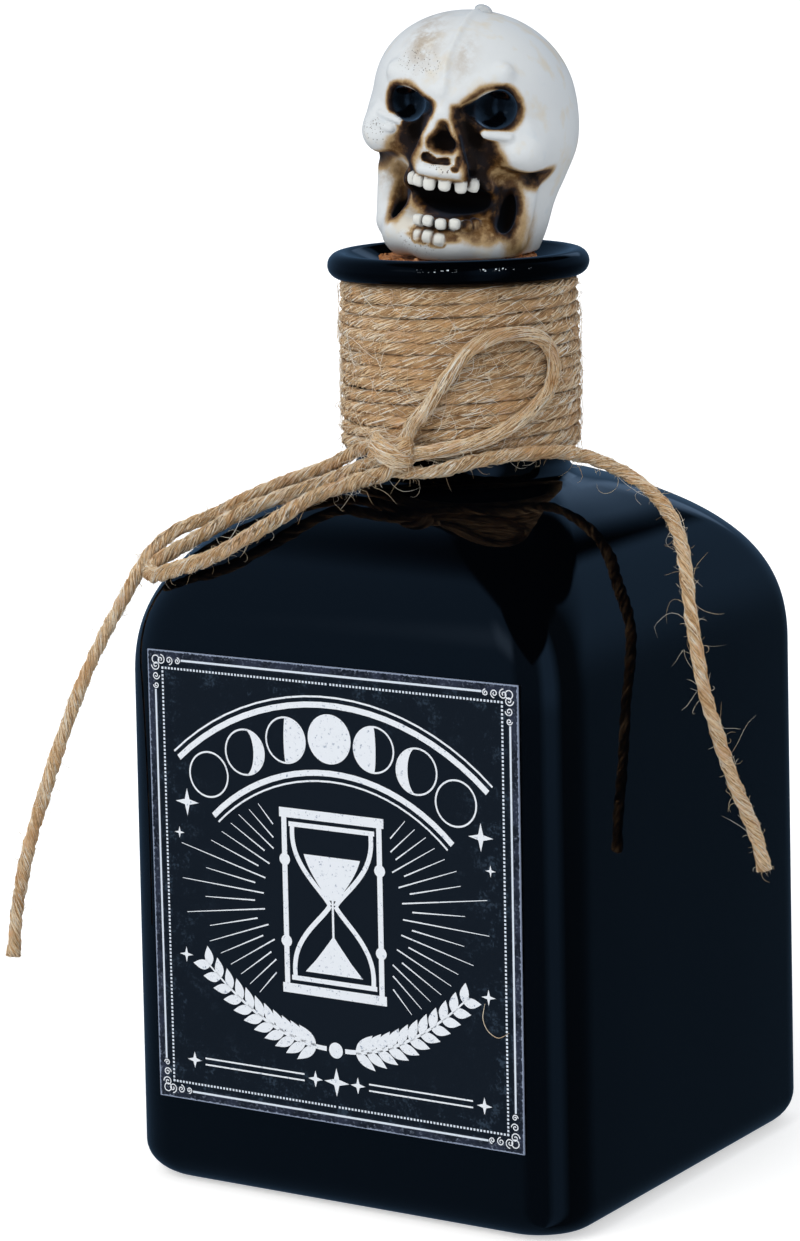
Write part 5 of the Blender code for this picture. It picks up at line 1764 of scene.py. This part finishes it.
@dataclass
class SkullTopper:
    """The skull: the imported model's own forms on a finer grid, with the paint worked out at each point."""

    set_back: float = 3.5 * MM
    turn: float = math.radians(15.3)
    lean: float = math.radians(6.5)
    half_breadth: float = 18.65
    half_height: float = 22.2
    foot: float = 171.55 * MM
    cell: float = 0.40
    masses: tuple[Lump | Bar, ...] = (
        Lump((0.0, 1.0, 27.3), (18.65, 21.5, 17.3)),
        Lump((0.0, -6.5, 31.5), (14.5, 13.0, 11.0), blend=5.0),
        Lump((0.0, 5.5, 21.5), (17.3, 16.0, 11.5), blend=5.0),
        Lump((12.3, -12.4, 21.2), (4.0, 4.5, 3.5), blend=2.2, pair=True),
        Bar((7.0, -17.4, 24.0), (13.6, -13.2, 25.6), (1.0, 1.2), blend=1.0, pair=True),
        Lump((14.6, -4.5, 22.0), (3.4, 9.5, 4.6), blend=4.0, pair=True),
        Bar((0.0, -19.4, 30.6), (0.4, -20.9, 26.9), (1.7, 1.1), blend=1.0, pair=True),
        Bar((0.6, -20.9, 26.9), (4.3, -19.9, 18.4), (1.25, 1.6), blend=0.5, pair=True),
        Bar((-0.2, -20.9, 26.9), (-3.8, -19.9, 18.4), (1.25, 1.6), blend=0.5),
        Lump((0.4, -18.2, 22.0), (3.9, 3.5, 5.0), blend=0.6),
        Lump((0.4, -17.4, 16.7), (6.3, 5.4, 2.1), blend=0.8),
        Lump((0.0, -13.8, 18.5), (7.6, 5.2, 6.4), blend=1.0),
        Lump((0.0, -12.6, 13.6), (8.6, 6.8, 5.0), blend=1.0),
        Lump((0.0, -13.2, 3.6), (8.6, 6.9, 4.8), blend=2.0),
        Lump((8.6, -8.5, 4.0), (4.4, 8.2, 5.2), blend=2.5, pair=True),
        Bar((12.2, -9.2, 5.0), (13.0, -6.8, 18.0), (2.2, 2.6), blend=2.0, pair=True),
        Lump((0.0, -3.0, 7.0), (11.0, 9.6, 9.5), blend=3.0),
        Lump((2.4, -0.4, 8.5), (12.4, 12.6, 12.5), blend=3.0),
        Bar((3.0, 1.5, 3.4), (4.5, 3.0, 16.0), (10.2, 12.0), blend=3.0),
    )
    hollows: tuple[Lump | Bar, ...] = (
        Lump((9.1, -18.6, 28.9), (4.1, 6.0, 3.9), 14, 0.4, 0.95, 0.85, True),
        Bar((4.2, -20.8, 28.2), (7.0, -19.4, 28.8), (1.5, 2.8), 0.4, 0.95, 0.8, True),
        Lump((-7.8, -18.8, 27.9), (3.7, 6.0, 3.5), -8, 0.4, 0.95, 0.8, True),
        Bar((-3.4, -20.8, 27.6), (-5.8, -19.8, 28.0), (1.4, 2.5), 0.4, 0.95, 0.8, True),
        Bar((0.6, -21.9, 24.8), (0.6, -21.5, 22.4), (0.75, 2.0), 0.3, 0.85, 0.5),
        Bar((-0.6, -21.5, 21.8), (1.8, -21.5, 21.8), (1.35, 1.35), 0.3, 0.85, 0.5),
        Bar((4.0, -21.2, 26.8), (6.6, -19.8, 22.0), (1.3, 2.4), 0.6, 1.0, 0.75, pair=True),
        Bar((6.6, -19.8, 22.0), (8.8, -17.6, 15.0), (2.5, 3.2), 0.6, 1.0, 1.1, pair=True),
        Lump((0.6, -18.6, 11.3), (11.0, 9.4, 3.3), 0, 0.6, 0.95, 0.8),
        Lump((10.8, -12.4, 10.0), (1.6, 5.0, 4.0), 0, 0.7, 1.0, 1.1),
        Lump((-9.6, -12.6, 9.6), (1.2, 5.0, 3.8), 0, 0.6, 0.7, 0.8),
        Bar((10.8, -15.0, 16.8), (17.2, -6.3, 16.4), (0.8, 0.9), 1.2, 0.9, 1.1, pair=True),
        Bar((-2.4, -21.2, 19.0), (-0.6, -21.1, 18.3), (0.8, 0.55), 0.2, 0.9, 0.12),
        Bar((-0.6, -21.1, 18.3), (1.5, -21.1, 18.6), (0.5, 0.65), 0.2, 0.9, 0.12),
        Bar((3.4, -21.9, 17.7), (3.9, -21.6, 19.2), (0.6, 0.55), 0.3, 0.8, 0.2),
    )
    covers: tuple[Lump | Bar, ...] = (
        Bar((2.2, -20.0, 30.1), (9.4, -15.9, 35.2), (1.5, 1.9), 1.2),
        Bar((-0.8, -20.4, 30.9), (-10.4, -16.0, 33.1), (1.5, 1.9), 1.2),
        Bar((7.6, -18.5, 24.1), (11.6, -16.5, 24.0), (0.7, 0.8), 0.5),
        Bar((-13.3, -15.3, 25.1), (-9.0, -17.8, 24.4), (0.7, 0.6), 0.4),
        Bar((-14.0, -15.9, 23.2), (-10.6, -17.0, 22.7), (0.7, 0.8), 0.4),
    )
    mists: tuple[Lump | Bar, ...] = (
        Lump((9.6, -13.0, 14.4), (2.2, 6.0, 1.6), mist=0.62, spread=1.6),
        Lump((-10.2, -12.6, 14.6), (1.4, 5.0, 1.2), mist=0.5, spread=0.9),
        Lump((0.4, -20.6, 7.4), (6.6, 3.0, 1.6), mist=0.95, spread=0.5),
        Lump((7.6, -17.0, 6.6), (3.2, 4.0, 1.6), mist=0.6, spread=1.1),
        Lump((9.4, -12.0, 11.0), (1.0, 5.0, 3.0), mist=0.95, spread=0.8),
        Lump((-9.0, -12.6, 10.4), (0.8, 5.0, 3.0), mist=0.9, spread=0.5),
        Lump((-0.6, -20.6, 4.8), (4.8, 3.0, 0.6), mist=0.7, spread=0.5),
        Lump((12.6, -9.5, 6.8), (0.8, 4.0, 4.0), mist=0.5, spread=1.0),
    )
    tooth_blend: float = 0.45

    def __post_init__(self) -> None:
        """Places the teeth along their two arches, the lower one with a second short row."""
        self.teeth = [*self.row((-60, -37, -14, 11, 36, 57), 14.2, (6.7, 8.5), -12.2, (1.12, 0.95, 1.2)),
                      *self.row((-34, -13, 9, 31, 52, 70), 7.2, (6.4, 7.7), -12.6, (1.05, 1.05, 1.05)),
                      *self.row((-34, -14, 7), 4.3, (5.8, 7.2), -12.6, (1.05, 0.95, 1.0))]

    def row(self, angles: Sequence[float], height: float, reach: tuple[float, float], middle: float,
            radii: Point) -> list[Lump]:
        """Returns a row of teeth.

        Args:
            angles: each tooth's place round the arch, in degrees.
            height: the middle of the row.
            reach: the arch's half width and how far it comes forward.
            middle: how far back the arch's middle is.
            radii: a tooth's own radii.

        Returns:
            The teeth.
        """
        turns = [math.radians(angle) for angle in angles]
        rise = (0.0, 0.15, -0.1, 0.1, -0.05, 0.2)
        return [Lump((reach[0] * math.sin(turn), middle - reach[1] * math.cos(turn),
                      height + rise[number % 6]), radii, tilt=(4, -5, 3, -2, 6, -4)[number % 6],
                     power=3.2) for number, turn in enumerate(turns)]

    def union(self, first: np.ndarray, second: np.ndarray, width: float) -> np.ndarray:
        """Returns the smooth union of two fields."""
        near = np.maximum(width - np.abs(first - second), 0) / max(width, 1e-6)
        return np.minimum(first, second) - near**2 * width / 4

    def fields(self, points: np.ndarray) -> tuple[np.ndarray, np.ndarray, np.ndarray]:
        """Works out the skull's forms.

        Args:
            points: upright points in millimetres.

        Returns:
            The fields of the whole skull, of its masses without the hollows, and of its teeth.
        """
        mass = self.masses[0].away(points)
        for form in self.masses[1:]:
            mass = self.union(mass, form.away(points), form.blend)
        seam = (0.62 * np.exp(-(points[:, 0] - 0.3 * np.sin(points[:, 2] / 2.1)) ** 2 / 0.45)
                * np.clip((points[:, 2] - 30) / 2, 0, 1) * np.clip(-points[:, 1] / 4, 0, 1))
        whole = mass - seam
        for form in self.hollows:
            whole = -self.union(-whole, form.away(points), form.blend)
        for form in self.covers:
            whole = self.union(whole, form.away(points), form.blend)
        teeth = np.full(len(points), 99.0)
        for tooth in self.teeth:
            teeth = np.minimum(teeth, tooth.away(points))
        return self.union(whole, teeth, self.tooth_blend), mass, teeth

    def gaps(self, points: np.ndarray) -> np.ndarray:
        """Returns how much each point lies in a dark gap beside a tooth."""
        near = np.sort([tooth.away(points) for tooth in self.teeth], axis=0)
        between = np.clip(1.4 - (near[1] - near[0]) / 0.55, 0, 1) * np.clip(1 - near[0] / 1.2, 0, 1)
        beside = np.clip((near[0] - 0.12) / 0.2, 0, 1) * np.clip(1 - (near[0] - 0.3) / 0.5, 0, 1)
        return np.maximum(between, beside * 0.75)

    def upright(self, points: np.ndarray) -> np.ndarray:
        """Takes the skull's lean out of points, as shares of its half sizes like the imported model's."""
        across, back, up = points.T
        across, up = across / self.half_breadth, up / self.half_height
        return np.stack([(across * math.cos(self.lean) - up * math.sin(self.lean)) * self.half_breadth, back,
                         (across * math.sin(self.lean) + up * math.cos(self.lean)) * self.half_height],
                        axis=1)

    def surface(self, values: np.ndarray, places: Sequence[np.ndarray]) -> tuple[np.ndarray, np.ndarray]:
        """Finds the surface where values on a grid change sign.

        Args:
            values: the grid of values.
            places: the grid's places along each way.

        Returns:
            The surface's points and its four-sided faces.
        """
        cells = tuple(size - 1 for size in values.shape)
        sums, hits, crossings = np.zeros((*cells, 3)), np.zeros(cells), []
        for axis in range(3):
            low, high = np.moveaxis(values, axis, 0)[:-1], np.moveaxis(values, axis, 0)[1:]
            crossing = (low < 0) != (high < 0)
            share = np.where(crossing, low / np.where(crossing, low - high, 1), 0)
            crossings.append((crossing, low < 0))
            others = [other for other in range(3) if other != axis]
            cell_sums, cell_hits = np.moveaxis(sums, axis, 0), np.moveaxis(hits, axis, 0)
            for first in (0, 1):
                for second in (0, 1):
                    window = np.s_[:, first:first + cell_hits.shape[1], second:second + cell_hits.shape[2]]
                    cell_hits += crossing[window]
                    cell_sums[..., axis] += share[window]
                    cell_sums[..., others[0]] += first * crossing[window]
                    cell_sums[..., others[1]] += second * crossing[window]
        met = hits > 0
        numbers = np.cumsum(met).reshape(cells) - 1
        spots = np.argwhere(met) + sums[met] / hits[met][:, None]
        points = np.stack([np.interp(spots[:, axis], range(len(places[axis])), places[axis])
                           for axis in range(3)], axis=1)
        faces = []
        for axis, (crossing, leaving) in enumerate(crossings):
            numbered = np.moveaxis(numbers, axis, 0)
            here, first, second = np.nonzero(crossing[:, 1:-1, 1:-1])
            ring = np.stack([numbered[here, first, second], numbered[here, first + 1, second],
                             numbered[here, first + 1, second + 1], numbered[here, first, second + 1]],
                            axis=1)
            turned = leaving[here, first + 1, second + 1] == (axis == 1)
            ring[turned] = ring[turned][:, ::-1]
            faces.append(ring)
        return points, np.vstack(faces)

    def build(self) -> bpy.types.Object:
        """Builds the skull and works out its paint."""
        ends = ((-22.0, 22.0), (-25.0, 24.5), (-2.0, 47.0))
        places = [np.arange(low, high, self.cell) for low, high in ends]
        grid = np.stack(np.meshgrid(*places, indexing="ij"), axis=-1).reshape(-1, 3)
        whole, _, _ = self.fields(self.upright(grid))
        values = np.maximum(whole, -grid[:, 2]).reshape([len(place) for place in places])
        points, faces = self.surface(values, places)
        cos, sin = math.cos(self.turn), math.sin(self.turn)
        across, back, up = (points * MM).T
        set_across, set_back = -self.set_back * sin, self.set_back * cos
        placed = np.stack([across * cos - back * sin + set_across, across * sin + back * cos + set_back,
                           up + self.foot], axis=1)
        skull = mesh_piece("painted_skull", placed, faces, PaintedSkull())
        for name, amount in self.paint(self.upright(points)).items():
            layer = skull.data.attributes.new(name, "FLOAT", "POINT")
            layer.data.foreach_set("value", amount.astype(np.float32))
        return settle(skull, Body.STOPPER, Slot.SKULL, "skull_topper", mirrored=False)

    def paint(self, points: np.ndarray) -> dict[str, np.ndarray]:
        """Works out the airbrushed mist and the dark paint at each point.

        Args:
            points: upright points on the skull in millimetres.

        Returns:
            The amounts from 0 to 1 under the names that the finish reads.
        """
        _, mass, teeth = self.fields(points)
        cover = np.min([form.away(points) for form in self.covers], axis=0)
        sunk = np.minimum(-mass, cover * 2.5)
        mist = np.zeros(len(points))
        socket = np.zeros(len(points))
        for form in (*self.hollows, *self.mists):
            away = form.away(points)
            mist = np.maximum(mist, form.mist * np.exp(-np.clip(away, 0, None) ** 2 / (2 * form.spread**2)))
            if form.gloss:
                socket = np.maximum(socket,
                                    np.clip(1 - away / 0.35, 0, 1) * np.clip((sunk - 0.5) / 0.9, 0, 1))
        hollow = np.clip((sunk - 0.35) / 0.5, 0, 1) * (1 - socket)
        gaps = self.gaps(points)
        mist = np.maximum(mist * np.clip(cover / 0.5, 0, 1), gaps)
        bright = np.where(points[:, 2] > 9, points[:, 0] < 6.8, points[:, 0] < 4.4)
        tooth = np.clip(1 - (teeth - 0.02) / 0.2, 0, 1) * bright * (1 - gaps)

        def spot(across: float, up: float, wide: float, tall: float) -> np.ndarray:
            return np.exp(-((points[:, 0] - across) ** 2 / wide + (points[:, 2] - up) ** 2 / tall))

        front = points[:, 1] < -4
        stain = front * (spot(-5.8, 39.0, 10, 20) + 0.6 * spot(2.5, 37.0, 4, 14)
                         + 0.7 * spot(-13.0, 14.0, 8, 12))
        specks = front * (spot(-6.0, 35.4, 22, 7) + spot(-13.8, 22.0, 9, 7) + spot(-3.5, 3.4, 16, 7)
                          + 0.8 * spot(1.0, 17.4, 14, 3))
        return {"mist": mist, "socket": socket, "hollow": hollow, "tooth": tooth, "stain": stain,
                "specks": specks}


@dataclass
class CrownPlug:
    """The dab of clear glue on the skull's crown."""

    place: tuple[float, float] = (4.4 * MM, 3.4 * MM)
    length: float = 4.4 * MM
    width: float = 3.4 * MM
    height: float = 1.1 * MM

    def build(self, skull: bpy.types.Object) -> bpy.types.Object:
        """Drops the dab on the skull.

        Args:
            skull: the skull that it sits on.

        Returns:
            The dab.
        """
        bpy.context.view_layer.update()
        _, spot, normal, _ = skull.ray_cast(Vector((*self.place, 0.3)), Vector((0, 0, -1)))
        bpy.ops.mesh.primitive_uv_sphere_add(segments=32, ring_count=20, radius=0.5, location=spot,
                                             rotation=normal.to_track_quat("Z", "Y").to_euler(),
                                             scale=(self.length, self.width, 2 * self.height))
        dab = bare(bpy.context.object)
        dab.name = "glue_dab"
        dab.data.shade_smooth()
        dab.data.materials.append(ClearGlue().material())
        return settle(dab, Body.STOPPER, Slot.GLUE, "crown_plug", mirrored=False)


def main() -> None:
    """Builds the camera, the studio, the bottle, the twine and every other piece, in that order."""
    logging.basicConfig(level=logging.INFO, format="%(name)s: %(message)s")
    PhotoCamera().build()
    Studio().build()
    glass = GlassBottle()
    bottle = glass.build()
    tree = BVHTree.FromPolygons([vert.co.copy() for vert in bottle.data.vertices],
                                [list(face.vertices) for face in bottle.data.polygons])
    TwineWork().build(Clearance(tree))
    FrontLabel().build(glass)
    CorkStopper().build()
    skull = SkullTopper().build()
    CrownPlug().build(skull)


if __name__ == "__main__":
    main()
